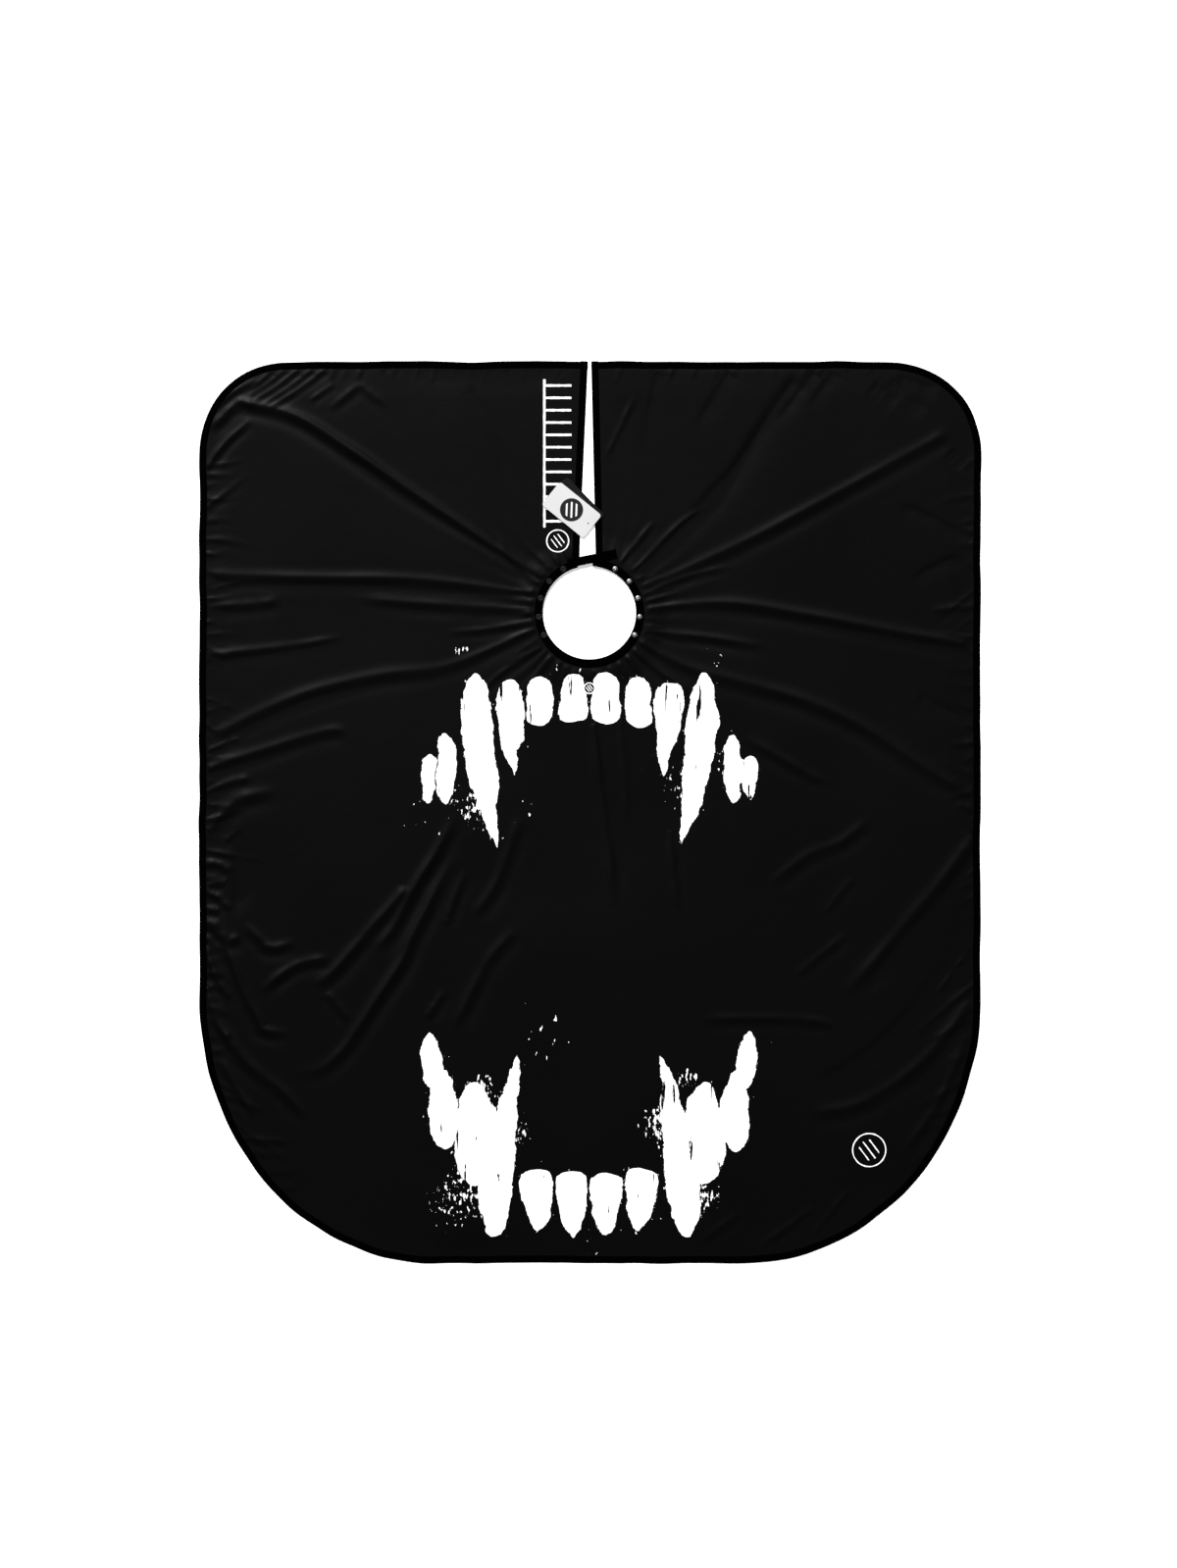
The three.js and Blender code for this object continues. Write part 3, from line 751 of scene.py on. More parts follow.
def neck_gathers(rng):
    """Short soft gathers that the neckband makes all round, except where the slit is."""
    found = []
    start = BAND_OUTER + 0.001
    for degrees in np.arange(112, 428, 9.5):
        at_front = 230 < degrees < 310
        turn = math.radians(degrees + rng.uniform(-2, 2))
        reach = rng.uniform(0.025, 0.095) * (0.5 if at_front else 1)
        way = turn + rng.normal(0, 0.12)
        x, y = NECK_X + start * math.cos(turn), NECK_Y + start * math.sin(turn)
        found.append((
            rng.uniform(0.9, 2.6) * (0.6 if at_front else 1), rng.uniform(2.4, 4.2),
            [(x, y), (x + reach * math.cos(way), y + reach * math.sin(way))],
        ))
    return found


def soft_noise(x, y, size, rng):
    """Smooth noise from -1 to 1 with features about size across."""
    cells = int(2.0 / size) + 4
    grid = rng.uniform(-1, 1, (cells, cells))
    u, v = (x + 1.0) / size, (y + 1.0) / size
    i, j = np.floor(u).astype(int), np.floor(v).astype(int)
    s, t = smoothstep(0, 1, u - i), smoothstep(0, 1, v - j)
    low = grid[i, j] * (1 - s) + grid[i + 1, j] * s
    high = grid[i, j + 1] * (1 - s) + grid[i + 1, j + 1] * s
    return low * (1 - t) + high * t


class ClothSurface:
    """How high the cloth's underside lies at any place, in metres over the floor."""

    def __init__(self, strength):
        rng = np.random.default_rng(20)
        self.strength = strength
        self.folds = []
        for fold in map(in_metres, NECK_FOLDS):
            x, y = fold[2][-1]
            to_edge = abs(x) > 0.55 or y > 0.7
            self.folds.append((fold, 0.02, 0.05 if to_edge else 0.25, 0.45))
        for fold in map(in_metres, SIDE_FOLDS):
            x, y = fold[2][0]
            from_edge = abs(x) > 0.63 or y > 0.73
            self.folds.append((fold, 0.02 if from_edge else 0.2, 0.25, 0.0))
        self.folds += [(fold, 0.02, 0.8, 0.0) for fold in edge_puckers(rng)]
        self.folds += [(fold, 0.02, 0.9, 0.0) for fold in neck_gathers(rng)]

    def creases(self, x, y, from_neck):
        """All folds, a soft swell, gathers round the neck and ripples along the two long edges."""
        total = np.zeros_like(x)
        for fold, start, end, taper in self.folds:
            add_fold(total, x, y, fold, start, end, taper)
        rng = np.random.default_rng(31)
        total += 0.0016 * soft_noise(x, y, 0.26, rng) + 0.0008 * soft_noise(x, y, 0.11, rng)
        turn = np.arctan2(y - NECK_Y, x - NECK_X)
        wobble = 1.4 * soft_noise(x, y, 0.06, rng) + 1.2 * soft_noise(x, y, 0.2, rng)
        swell = 0.55 + 0.45 * soft_noise(x, y, 0.045, rng)
        sides = 0.35 + 0.65 * smoothstep(0.05, 0.7, np.abs(np.cos(turn)))
        gather_count, gather_reach, ripple_length = 36, 0.055, 0.021
        gathers = np.sin(gather_count * turn + 1.5 * wobble) * swell * sides
        gathers *= np.exp(-(from_neck - BAND_OUTER) / gather_reach)
        total += 0.0012 * gathers * (from_neck < 0.4)
        left_pull = np.exp(-(x + HALF_WIDTH) / 0.016) * smoothstep(0.66, 0.54, np.abs(y + 0.02))
        right_pull = 0.35 * np.exp(-(HALF_WIDTH - x) / 0.014) * smoothstep(0.62, 0.50, np.abs(y))
        ripples = np.sin(y * 2 * math.pi / ripple_length + 3.0 * soft_noise(x, y, 0.05, rng))
        ripples = ripples * (0.5 + 0.5 * wobble.clip(-1, 1))
        return total + 0.0012 * ripples * (left_pull + right_pull)

    def height(self, x, y):
        """The creases, held down by the neckband, the seams, the slit and the tags, and kept off the
        floor."""
        x, y = np.asarray(x, float), np.asarray(y, float)
        from_neck = np.hypot(x - NECK_X, y - NECK_Y)
        total = self.creases(x, y, from_neck) * self.strength
        near_band = smoothstep(BAND_OUTER - 0.001, BAND_OUTER + 0.010, from_neck)
        _, _, reach = round_corners(x, y, 0.0)
        edge = np.minimum(HALF_WIDTH - np.abs(x), HALF_LENGTH - np.abs(y))
        edge = np.where(reach > 0, np.minimum(edge, (1 - reach) * 0.2), edge)
        near_edge = 0.3 + 0.7 * smoothstep(0.004, 0.02, edge)
        total = (total + 0.0008 * smoothstep(0.012, 0.06, edge)) * near_band * near_edge
        total = total * (0.25 + 0.75 * smoothstep(0.010, 0.05, np.abs(x - NECK_X) + 0.2 * (y < NECK_Y)))
        tag_x, tag_y, _ = JOINTS["tag_front_swing"]["pos_m"]
        under_tags = 0.0013 + 0.02 * smoothstep(0.095, 0.15, np.hypot(x - tag_x, y - tag_y))
        total = np.minimum(total, under_tags)
        total = np.where(total < 0, total / (1 - total / (CLOTH_LEVEL * 0.85)), total)
        rise = 1 - smoothstep(BAND_OUTER + 0.006, BAND_OUTER + 0.044, from_neck)
        return CLOTH_LEVEL + total + (RAISED_LEVEL - CLOTH_LEVEL) * rise


SURFACE = None


def surface():
    global SURFACE
    if SURFACE is None:
        SURFACE = ClothSurface(bpy.context.scene.cape_cloth.fold_strength)
    return SURFACE


# ------------------------------------------------------------------ mesh helpers


def deselect():
    bpy.ops.object.select_all(action="DESELECT")


def select_only(obj):
    deselect()
    obj.select_set(True)
    bpy.context.view_layer.objects.active = obj


def new_piece(name, vertices, faces):
    mesh = bpy.data.meshes.new(name)
    mesh.from_pydata([tuple(v) for v in vertices], [], [tuple(f) for f in faces])
    mesh.polygons.foreach_set("use_smooth", [True] * len(mesh.polygons))
    mesh.update()
    obj = bpy.data.objects.new(name, mesh)
    bpy.context.scene.collection.objects.link(obj)
    return obj


def face_outwards(obj):
    select_only(obj)
    bpy.ops.object.mode_set(mode="EDIT")
    bpy.ops.mesh.select_all(action="SELECT")
    bpy.ops.mesh.remove_doubles(threshold=0.000001)
    bpy.ops.mesh.normals_make_consistent(inside=False)
    bpy.ops.object.mode_set(mode="OBJECT")


def soften(obj, degrees):
    select_only(obj)
    bpy.ops.object.shade_smooth_by_angle(angle=math.radians(degrees))


def finish_piece(obj, body, slot, *nodes, material=None):
    if material:
        obj.data.materials.clear()
        obj.data.materials.append(material)
    if body:
        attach(obj, body)
    if nodes:
        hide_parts(*nodes)
    return obj


def fold_at_wing(obj):
    """Bakes a piece's placement into its mesh."""
    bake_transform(obj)


def swept(name, path, across, section, on_cloth):
    """A closed section carried along a flat path. across holds each place's unit vector for the section's
    x, and the section's y is its height."""
    count, rings = len(section), len(path)
    flat = path[:, None] + across[:, None, :] * section[None, :, 0:1]
    height = np.broadcast_to(section[None, :, 1], (rings, count))
    vertices = np.concatenate([flat, height[..., None]], 2).reshape(-1, 3)
    faces = [
        (i * count + j, i * count + (j + 1) % count, (i + 1) * count + (j + 1) % count, (i + 1) * count + j)
        for i in range(rings - 1) for j in range(count)
    ]
    faces.append(tuple(range(count - 1, -1, -1)))
    faces.append(tuple(range((rings - 1) * count, rings * count)))
    obj = new_piece(name, vertices, faces)
    face_outwards(obj)
    if on_cloth:
        follow_cloth(obj)
    soften(obj, 50)
    return obj


def inward_normals(path, side):
    along = np.gradient(path, axis=0)
    along /= np.hypot(along[:, 0], along[:, 1])[:, None]
    return np.stack([along[:, 1], -along[:, 0]], 1) * side


def follow_cloth(obj):
    """Lifts a flat piece by how far the cloth under it lies over its lowest level."""
    co = np.empty(len(obj.data.vertices) * 3)
    obj.data.vertices.foreach_get("co", co)
    co = co.reshape(-1, 3)
    co[:, 2] += surface().height(co[:, 0], co[:, 1]) - CLOTH_LEVEL
    co[:, 2] = np.maximum(co[:, 2], 0.00005)
    obj.data.vertices.foreach_set("co", co.ravel())
    obj.data.update()


# ------------------------------------------------------------------ cloth


def cloth_grid(side, settings):
    """Places of one half of the sheet, which of its cells are cloth, and the column of its inner cut."""
    inset = 0.003
    cell = settings.cell
    outer = HALF_WIDTH - inset
    inner = side * NECK_X
    cut = int(round((settings.cut_x - inner) / cell))
    columns = int(round((outer - settings.cut_x) / cell))
    rows = int(round((2 * HALF_LENGTH - 2 * inset) / cell))
    across = np.concatenate([
        np.linspace(inner, settings.cut_x, cut + 1), np.linspace(settings.cut_x, outer, columns + 1)[1:],
    ])
    along = np.linspace(inset - HALF_LENGTH, HALF_LENGTH - inset, rows + 1)
    gx, gy = np.meshgrid(side * across, along, indexing="ij")
    _, _, reach = round_corners(gx, gy, inset)
    neck_radius = BAND_OUTER - 0.0045
    from_neck = np.hypot(gx - NECK_X, gy - NECK_Y)
    slit_edge = slit_x(side, gy, inset)

    def middle(v):
        return (v[:-1, :-1] + v[1:, :-1] + v[:-1, 1:] + v[1:, 1:]) / 4

    mx, my = middle(gx), middle(gy)
    keep = (middle(reach) < 1) | (middle(reach) == 0)
    keep &= np.hypot(mx - NECK_X, my - NECK_Y) > neck_radius
    keep &= ~((side * (mx - slit_x(side, my, inset)) < 0) & (my > NECK_Y))
    touching = touched(keep)
    rim = (touching > 0) & (touching < 4)
    on_seam = np.abs(gx - NECK_X) < 1e-6
    near_neck = rim & (np.abs(from_neck - neck_radius) < 1.5 * cell) & (~on_seam | (touching == 1))
    scale = neck_radius / np.maximum(from_neck, 1e-6)
    x = np.where(near_neck & ~on_seam, NECK_X + (gx - NECK_X) * scale, gx)
    y = np.where(near_neck, NECK_Y + (gy - NECK_Y) * scale, gy)
    near_slit = rim & ~near_neck & (gy > NECK_Y) & (np.abs(gx - slit_edge) < 1.5 * cell)
    x = np.where(near_slit, slit_edge, x)
    corner = rim & (reach > 0.9)
    stretch = np.where(corner, 1.02, 1.0)
    cx, cy, _ = round_corners(gx * stretch, gy * stretch, inset)
    return np.where(corner, cx, x), np.where(corner, cy, y), keep, cut


def touched(keep):
    """How many kept cells meet at each corner of the grid."""
    touching = np.zeros((keep.shape[0] + 1, keep.shape[1] + 1), int)
    for i in (0, 1):
        for j in (0, 1):
            touching[i:i + keep.shape[0], j:j + keep.shape[1]] += keep
    return touching


def cloth_piece(name, side, x, y, keep, settings):
    """The kept cells as a closed thin solid, printed on top, with a UV map that is the flat cut."""
    used = touched(keep) > 0
    total = int(used.sum())
    number = np.full(x.shape, -1)
    number[used] = np.arange(total)
    px, py = x[used], y[used]
    height = surface().height
    under = height(px, py)
    step = 0.0009
    slope_x = (height(px + step, py) - height(px - step, py)) / (2 * step)
    slope_y = (height(px, py + step) - height(px, py - step)) / (2 * step)
    normal = np.stack([-slope_x, -slope_y, np.ones_like(px)], 1)
    normal /= np.linalg.norm(normal, axis=1)[:, None]
    low = np.stack([px, py, under], 1)
    high = low + normal * settings.thickness
    i, j = np.nonzero(keep)
    quads = np.stack([number[i, j], number[i + 1, j], number[i + 1, j + 1], number[i, j + 1]], 1)
    if side < 0:
        quads = quads[:, ::-1]
    starts, ends = quads.ravel(), np.roll(quads, -1, axis=1).ravel()
    back = set(zip(ends.tolist(), starts.tolist()))
    rim = [(a, b) for a, b in zip(starts.tolist(), ends.tolist()) if (a, b) not in back]
    wall = [(b, a, a + total, b + total) for a, b in rim]
    faces = [*(quads + total).tolist(), *quads[:, ::-1].tolist(), *wall]
    obj = new_piece(name, np.vstack([low, high]), faces)
    layer = obj.data.uv_layers.new(name="flat_cut")
    corners = np.empty(len(obj.data.loops), int)
    obj.data.loops.foreach_get("vertex_index", corners)
    flat_u = np.tile(px, 2) / (2 * HALF_WIDTH) + 0.5
    flat_v = np.tile(py, 2) / (2 * HALF_LENGTH) + 0.5
    layer.uv.foreach_set("vector", np.stack([flat_u[corners], flat_v[corners]], 1).ravel())
    obj.data.materials.append(bpy.data.materials["printed_satin"])
    obj.data.materials.append(bpy.data.materials["plain_satin"])
    slots = np.zeros(len(faces), int)
    slots[len(quads):2 * len(quads)] = 1
    obj.data.polygons.foreach_set("material_index", slots)
    obj.data.normals_split_custom_set_from_vertices(np.vstack([-normal, normal]).tolist())
    return obj


class CAPE_OT_cloth(Operator):
    """Lay out the creased sheet in four pieces and give it its printed finish"""

    bl_idname = "cape.cloth"
    bl_label = "Cloth"

    def execute(self, context):
        settings = context.scene.cape_cloth
        cloth_finish(settings, printed=True)
        cloth_finish(settings, printed=False)
        for side, word in ((-1, "left"), (1, "right")):
            x, y, keep, cut = cloth_grid(side, settings)
            column = np.arange(keep.shape[0])[:, None]
            centre = cloth_piece(f"cape_cloth_centre_{word}", side, x, y, keep & (column < cut), settings)
            finish_piece(centre, "cape", "cape_cloth", *(["centre_panel"] if side < 0 else []))
            wing = cloth_piece(f"cape_cloth_{word}", side, x, y, keep & (column >= cut), settings)
            fold_at_wing(wing)
            finish_piece(wing, None, "cape_cloth", f"{word}_wing_panel")
        return {"FINISHED"}


# ------------------------------------------------------------------ bindings


def binding_section(width):
    """A folded tape with a round outer edge and thin free edges that lie on the cloth."""
    middle = CLOTH_LEVEL + bpy.context.scene.cape_cloth.thickness / 2
    outer = [
        (1, 0.00030), (0.93, 0.00052), (0.80, 0.00070), (0.55, 0.00078),
        (0.30, 0.00082), (0.14, 0.00076), (0.05, 0.00054), (0, 0),
    ]
    lips, gap = (0.95, 0.5, 0.12), 0.00018
    points = [
        *[(share, height) for share, height in outer],
        *[(share, -0.98 * height) for share, height in reversed(outer[:-1])],
        *[(share, -gap) for share in lips],
        *[(share, gap) for share in reversed(lips)],
    ]
    return np.array([(share * width, middle + height) for share, height in points])


def stitches(name, path, inward, offset, height, on_cloth=True):
    """A row of short thread stitches that sink into the cloth at both ends."""
    settings = bpy.context.scene.cape_binding
    pitch = settings.stitch + settings.stitch_gap
    line = resample(path + inward * offset, pitch)
    along = np.diff(line, axis=0)
    along /= np.hypot(along[:, 0], along[:, 1])[:, None]
    starts = line[:-1]
    shape = [(-0.5, -0.00018, 0.1), (-0.3, 0.00012, 1.0), (0.3, 0.00012, 1.0), (0.5, -0.00018, 0.1)]
    sides, thick = 5, 0.00022
    around = [(math.cos(t), math.sin(t)) for t in np.arange(sides) * 2 * math.pi / sides]
    levels = np.full(len(starts), height)
    if on_cloth:
        levels += surface().height(starts[:, 0], starts[:, 1]) - CLOTH_LEVEL
    vertices, faces = [], []
    for start, way, level in zip(starts, along, levels):
        base = len(vertices)
        side = np.array([-way[1], way[0]])
        centre = start + way * pitch / 2
        for share, rise, size in shape:
            at = centre + way * share * settings.stitch
            for c, s in around:
                flat = at + side * c * thick * size
                vertices.append((flat[0], flat[1], level + rise + s * thick * size))
        for first in range(base, base + (len(shape) - 1) * sides, sides):
            for k in range(sides):
                a, b = first + k, first + (k + 1) % sides
                faces.append((a, a + sides, b + sides, b))
        faces.append(tuple(range(base, base + sides)))
        faces.append(tuple(range(len(vertices) - 1, len(vertices) - 1 - sides, -1)))
    return new_piece(name, vertices, faces)


class CAPE_OT_bindings(Operator):
    """Fold the tape round the outer edge and the slit, with its stitching"""

    bl_idname = "cape.bindings"
    bl_label = "Bindings"

    def execute(self, context):
        settings = context.scene.cape_binding
        tape = tape_finish(settings)
        thread = thread_finish()
        section = binding_section(settings.width)
        rng = np.random.default_rng(5)
        stitch_line, stitch_height = settings.width - settings.stitch_inset, BINDING_TOP - 0.00065
        groups = {
            -1: ("left", ["left_wing_binding", "top_binding_left", "bottom_binding"]),
            1: ("right", ["right_wing_binding", "top_binding_right"]),
        }
        for side, (word, nodes) in groups.items():
            path = edge_path(side, PATH_STEP)
            inward = inward_normals(path, side)
            wave = np.convolve(rng.normal(0, 1, len(path) + 24), np.hanning(25) / 4.4, "valid")
            wander = wave * 0.0009
            for end in (path[0], path[-1]):
                wander *= smoothstep(0, 0.05, np.hypot(*(path - end).T))
            edge = path + inward * (wander[:, None] + 0.0006)
            obj = swept(f"edge_binding_{word}", edge, inward, section, on_cloth=True)
            threads = stitches(f"edge_stitching_{word}", path, inward, stitch_line, stitch_height)
            for piece in (obj, threads):
                fold_at_wing(piece)
            finish_piece(obj, None, "binding_tape", *nodes, material=tape)
            finish_piece(threads, None, "binding_tape", material=thread)
            ends = (HALF_LENGTH, NECK_Y + BAND_OUTER - 0.001)
            slit = resample(np.array([(slit_x(side, y), y) for y in ends]), PATH_STEP)
            inward = inward_normals(slit, side)
            inward = -inward if inward[0, 0] * side < 0 else inward
            obj = swept(f"slit_binding_{word}", slit, inward, section, on_cloth=True)
            finish_piece(obj, "cape", "binding_tape", f"{word}_slit_binding", material=tape)
            threads = stitches(f"slit_stitching_{word}", slit, inward, stitch_line, stitch_height)
            finish_piece(threads, "cape", "binding_tape", material=thread)
        return {"FINISHED"}


# ------------------------------------------------------------------ neckband


def band_ring(name, top, bottom, settings):
    """A C-shaped ring of folded cloth with rolled edges."""
    turns = np.linspace(settings.left_end, 2 * math.pi + settings.right_end, 220)
    out = np.stack([np.cos(turns), np.sin(turns)], 1)
    inner = BAND_OUTER - settings.width
    mid, half = (top + bottom) / 2, (top - bottom) / 2
    shares = [0.0, 0.04, 0.12, 0.3, 0.5, 0.7, 0.88, 0.96, 1.0]
    bulge = [0.0, 0.62, 0.92, 1.0, 1.02, 1.0, 0.92, 0.62, 0.0]
    upper, lower = (
        [(inner + s * settings.width, mid + way * half * b) for s, b in zip(shares, bulge)]
        for way in (1, -1)
    )
    section = np.array(upper + lower[-2:0:-1])
    return swept(name, np.tile((NECK_X, NECK_Y), (len(turns), 1)), out, section, on_cloth=False)


class CAPE_OT_neckband(Operator):
    """Make the two rings of the neckband and their stitching"""

    bl_idname = "cape.neckband"
    bl_label = "Neckband"

    def execute(self, context):
        settings = context.scene.cape_neckband
        tape = bpy.data.materials["woven_tape"]
        thread = bpy.data.materials["black_thread"]
        facing, lining = 0.0005, 0.0006
        top = band_ring("neckband_top", BAND_TOP, BAND_TOP - facing, settings)
        finish_piece(top, "cape", "neckband_cloth", "neckband_facing", material=tape)
        under = band_ring("neckband_under", LINING_BOTTOM + lining, LINING_BOTTOM, settings)
        finish_piece(under, "cape", "neckband_cloth", "neckband_lining", material=tape)
        turns = np.linspace(settings.left_end + 0.02, 2 * math.pi + settings.right_end - 0.02, 200)
        out = np.stack([np.cos(turns), np.sin(turns)], 1)
        outer_edge = np.array([NECK_X, NECK_Y]) + BAND_OUTER * out
        insets = {"outer": settings.stitch_inset, "inner": settings.width - settings.stitch_inset}
        for word, inset in insets.items():
            row = stitches(f"neckband_stitching_{word}", outer_edge, -out, inset, BAND_TOP, on_cloth=False)
            finish_piece(row, "cape", "neckband_cloth", material=thread)
        stiffener = frame["nodes"]["neckband_interlining"].data.materials
        stiffener.clear()
        stiffener.append(stiffener_finish())
        return {"FINISHED"}


class CAPE_OT_closure_tab(Operator):
    """Make the free end of the neckband that laps over the slit"""

    bl_idname = "cape.closure_tab"
    bl_label = "Closure tab"

    def execute(self, context):
        joint = JOINTS["closure_tab_lift"]
        low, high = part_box("closure_tab")
        lean = math.atan2(joint["axis"][0], -joint["axis"][1])
        width, root = 0.0145, 0.0115
        length = ((high.x - low.x) - width * math.sin(lean)) / math.cos(lean)
        start = Vector((joint["pos_m"][0], joint["pos_m"][1], (low.z + high.z) / 2))
        thick = high.z - low.z
        deselect()
        bpy.ops.mesh.primitive_cube_add(size=1, location=(0, 0, 0))
        obj = bpy.context.object
        obj.name = obj.data.name = "closure_tab_strip"
        whole = length + root
        obj.scale = (whole, width, thick)
        bpy.ops.object.transform_apply(location=False, rotation=False, scale=True)
        bevel = obj.modifiers.new("Rolled edges", "BEVEL")
        bevel.width, bevel.segments = 0.0005, 3
        bpy.ops.object.modifier_apply(modifier="Rolled edges")
        bpy.ops.object.mode_set(mode="EDIT")
        cuts = [((x, 0, 0), (1, 0, 0)) for x in np.linspace(-0.5, 0.5, 42)[1:-1] * whole]
        cuts += [((0, share * width, 0), (0, 1, 0)) for share in (-0.32, 0.32)]
        for place, normal in cuts:
            bpy.ops.mesh.select_all(action="SELECT")
            bpy.ops.mesh.bisect(plane_co=place, plane_no=normal)
        bpy.ops.object.mode_set(mode="OBJECT")
        phase = np.random.default_rng(9).uniform(0, 6, 3)
        for vertex in obj.data.vertices:
            x, y = vertex.co.x, vertex.co.y
            ripple = math.sin(x * 260 + phase[0]) + 0.6 * math.sin(x * 610 + y * 300 + phase[1])
            vertex.co.z += 0.00010 * ripple
            vertex.co.y += 0.00025 * math.sin(x * 90 + phase[2])
            vertex.co.x += (length - root) / 2
        obj.data.transform(Matrix.Translation(start) @ Matrix.Rotation(lean, 4, "Z"))
        soften(obj, 50)
        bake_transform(obj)
        tape = bpy.data.materials["woven_tape"]
        finish_piece(obj, None, "neckband_cloth", "closure_tab", "closure_tab_root", material=tape)
        return {"FINISHED"}


# ------------------------------------------------------------------ snaps


def turned(name, profile, steps):
    """A profile of (radius, height) in millimetres spun round the vertical."""
    points = [(r * MM, 0, z * MM) for r, z in profile]
    mesh = bpy.data.meshes.new(name)
    mesh.from_pydata(points, [(i, i + 1) for i in range(len(points) - 1)], [])
    obj = bpy.data.objects.new(name, mesh)
    bpy.context.scene.collection.objects.link(obj)
    select_only(obj)
    bpy.ops.object.mode_set(mode="EDIT")
    bpy.ops.mesh.select_all(action="SELECT")
    bpy.ops.mesh.spin(steps=steps, angle=2 * math.pi, center=(0, 0, 0), axis=(0, 0, 1))
    bpy.ops.object.mode_set(mode="OBJECT")
    face_outwards(obj)
    soften(obj, 35)
    return obj


class CAPE_OT_snaps(Operator):
    """Turn the four kinds of snap part and set one of each kind at its place in the neckband"""

    bl_idname = "cape.snaps"
    bl_label = "Snaps"

    def execute(self, context):
        steps = context.scene.cape_snaps.steps
        black = metal_finish("painted_snap", (0.004, 0.004, 0.004), 0.0, 0.5, 0.12)
        bright = metal_finish("plated_snap", (0.34, 0.34, 0.35), 1.0, 0.32)
        kinds = {
            "left_snap_cap": (black, [
                (0, 5.95), (0.9, 5.93), (1.9, 5.9), (2.3, 5.98), (2.7, 6.16), (3.3, 6.24), (4.2, 6.12),
                (4.9, 5.8), (5.2, 5.4), (5.25, 5.1), (5.1, 4.96), (1.3, 4.96), (1.3, 1.3), (0, 1.3),
            ]),
            "left_snap_socket": (bright, [
                (2.6, 0.05), (2.9, 0.0), (4.4, 0.0), (4.7, 0.15), (4.75, 0.4), (4.6, 0.7), (4.1, 0.85),
                (3.9, 1.4), (3.6, 1.9), (3.2, 2.0), (1.6, 2.0), (1.6, 1.2), (2.45, 1.2), (2.65, 0.8),
                (2.5, 0.35), (2.6, 0.05),
            ]),
            "right_snap_stud": (bright, [
                (0, 7.15), (0.7, 7.15), (1.1, 7.38), (1.6, 7.4), (2.05, 7.2), (2.3, 6.75), (2.2, 6.3),
                (1.95, 5.9), (2.1, 5.72), (2.6, 5.66), (3.2, 5.7), (3.7, 5.62), (4.2, 5.4), (4.45, 5.15),
                (4.4, 4.98), (1.6, 4.98), (1.6, 6.2), (0, 6.2),
            ]),
            "right_snap_backing": (black, [
                (0, 0.02), (1.5, 0.04), (3.2, 0.16), (4.4, 0.42), (5.0, 0.85), (5.25, 1.4), (5.25, 1.8),
                (5.1, 2.0), (1.3, 2.0), (1.3, 5.9), (0, 5.9),
            ]),
        }
        for kind, (material, profile) in kinds.items():
            model = turned(kind, profile, steps)
            for i in range(1, 6):
                node = f"{kind}_{i}"
                low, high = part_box(node)
                copy = model.copy()
                copy.data = model.data.copy()
                copy.name = copy.data.name = f"{kind}_turned_{i}"
                bpy.context.scene.collection.objects.link(copy)
                copy.data.transform(Matrix.Translation(((low.x + high.x) / 2, (low.y + high.y) / 2, 0)))
                slot = "black_snap" if material is black else "bright_snap"
                finish_piece(copy, "cape", slot, node, material=material)
            bpy.data.objects.remove(model)
        return {"FINISHED"}


# ------------------------------------------------------------------ tags


def card(name, lean, pivot, bottom, settings, curl, shift):
    """A thin card with round corners and a punched hole. Its middle rises curl above its two ends."""
    deselect()
    bpy.ops.mesh.primitive_grid_add(x_subdivisions=44, y_subdivisions=26, size=1, location=(0, 0, 0))
    obj = bpy.context.object
    obj.name = obj.data.name = name
    obj.data.uv_layers[0].name = "flat_cut"
    half_x, half_y, corner = settings.length / 2, settings.width / 2, settings.corner
    for vertex in obj.data.vertices:
        x, y = vertex.co.x * settings.length, vertex.co.y * settings.width
        dx, dy = abs(x) - (half_x - corner), abs(y) - (half_y - corner)
        if dx > 0 and dy > 0:
            shrink = max(dx, dy) / math.hypot(dx, dy)
            x = math.copysign(half_x - corner + dx * shrink, x)
            y = math.copysign(half_y - corner + dy * shrink, y)
        vertex.co = (x, y, 0)
    layer = obj.data.uv_layers["flat_cut"]
    for index, loop in enumerate(obj.data.loops):
        co = obj.data.vertices[loop.vertex_index].co
        layer.uv[index].vector = (co.x / settings.length + 0.5, co.y / settings.width + 0.5)
    wall = obj.modifiers.new("Card", "SOLIDIFY")
    wall.thickness, wall.offset = settings.thickness, 1
    bpy.ops.object.modifier_apply(modifier="Card")
    bpy.ops.mesh.primitive_cylinder_add(
        vertices=32, radius=settings.hole_radius, depth=0.01,
        location=(settings.hole_inset - half_x, shift, 0),
    )
    punch = bpy.context.object
    select_only(obj)
    cut = obj.modifiers.new("Punched hole", "BOOLEAN")
    cut.object, cut.operation, cut.solver = punch, "DIFFERENCE", "EXACT"
    bpy.ops.object.modifier_apply(modifier="Punched hole")
    bpy.data.objects.remove(punch)
    for vertex in obj.data.vertices:
        vertex.co.z += curl * (1 - (vertex.co.x / half_x) ** 2)
        vertex.co.x += half_x - settings.hole_inset
        vertex.co.y -= shift
    low = min(vertex.co.z for vertex in obj.data.vertices)
    move = Matrix.Translation((pivot[0], pivot[1], bottom - low))
    obj.data.transform(move @ Matrix.Rotation(lean, 4, "Z"))
    soften(obj, 30)
    return obj


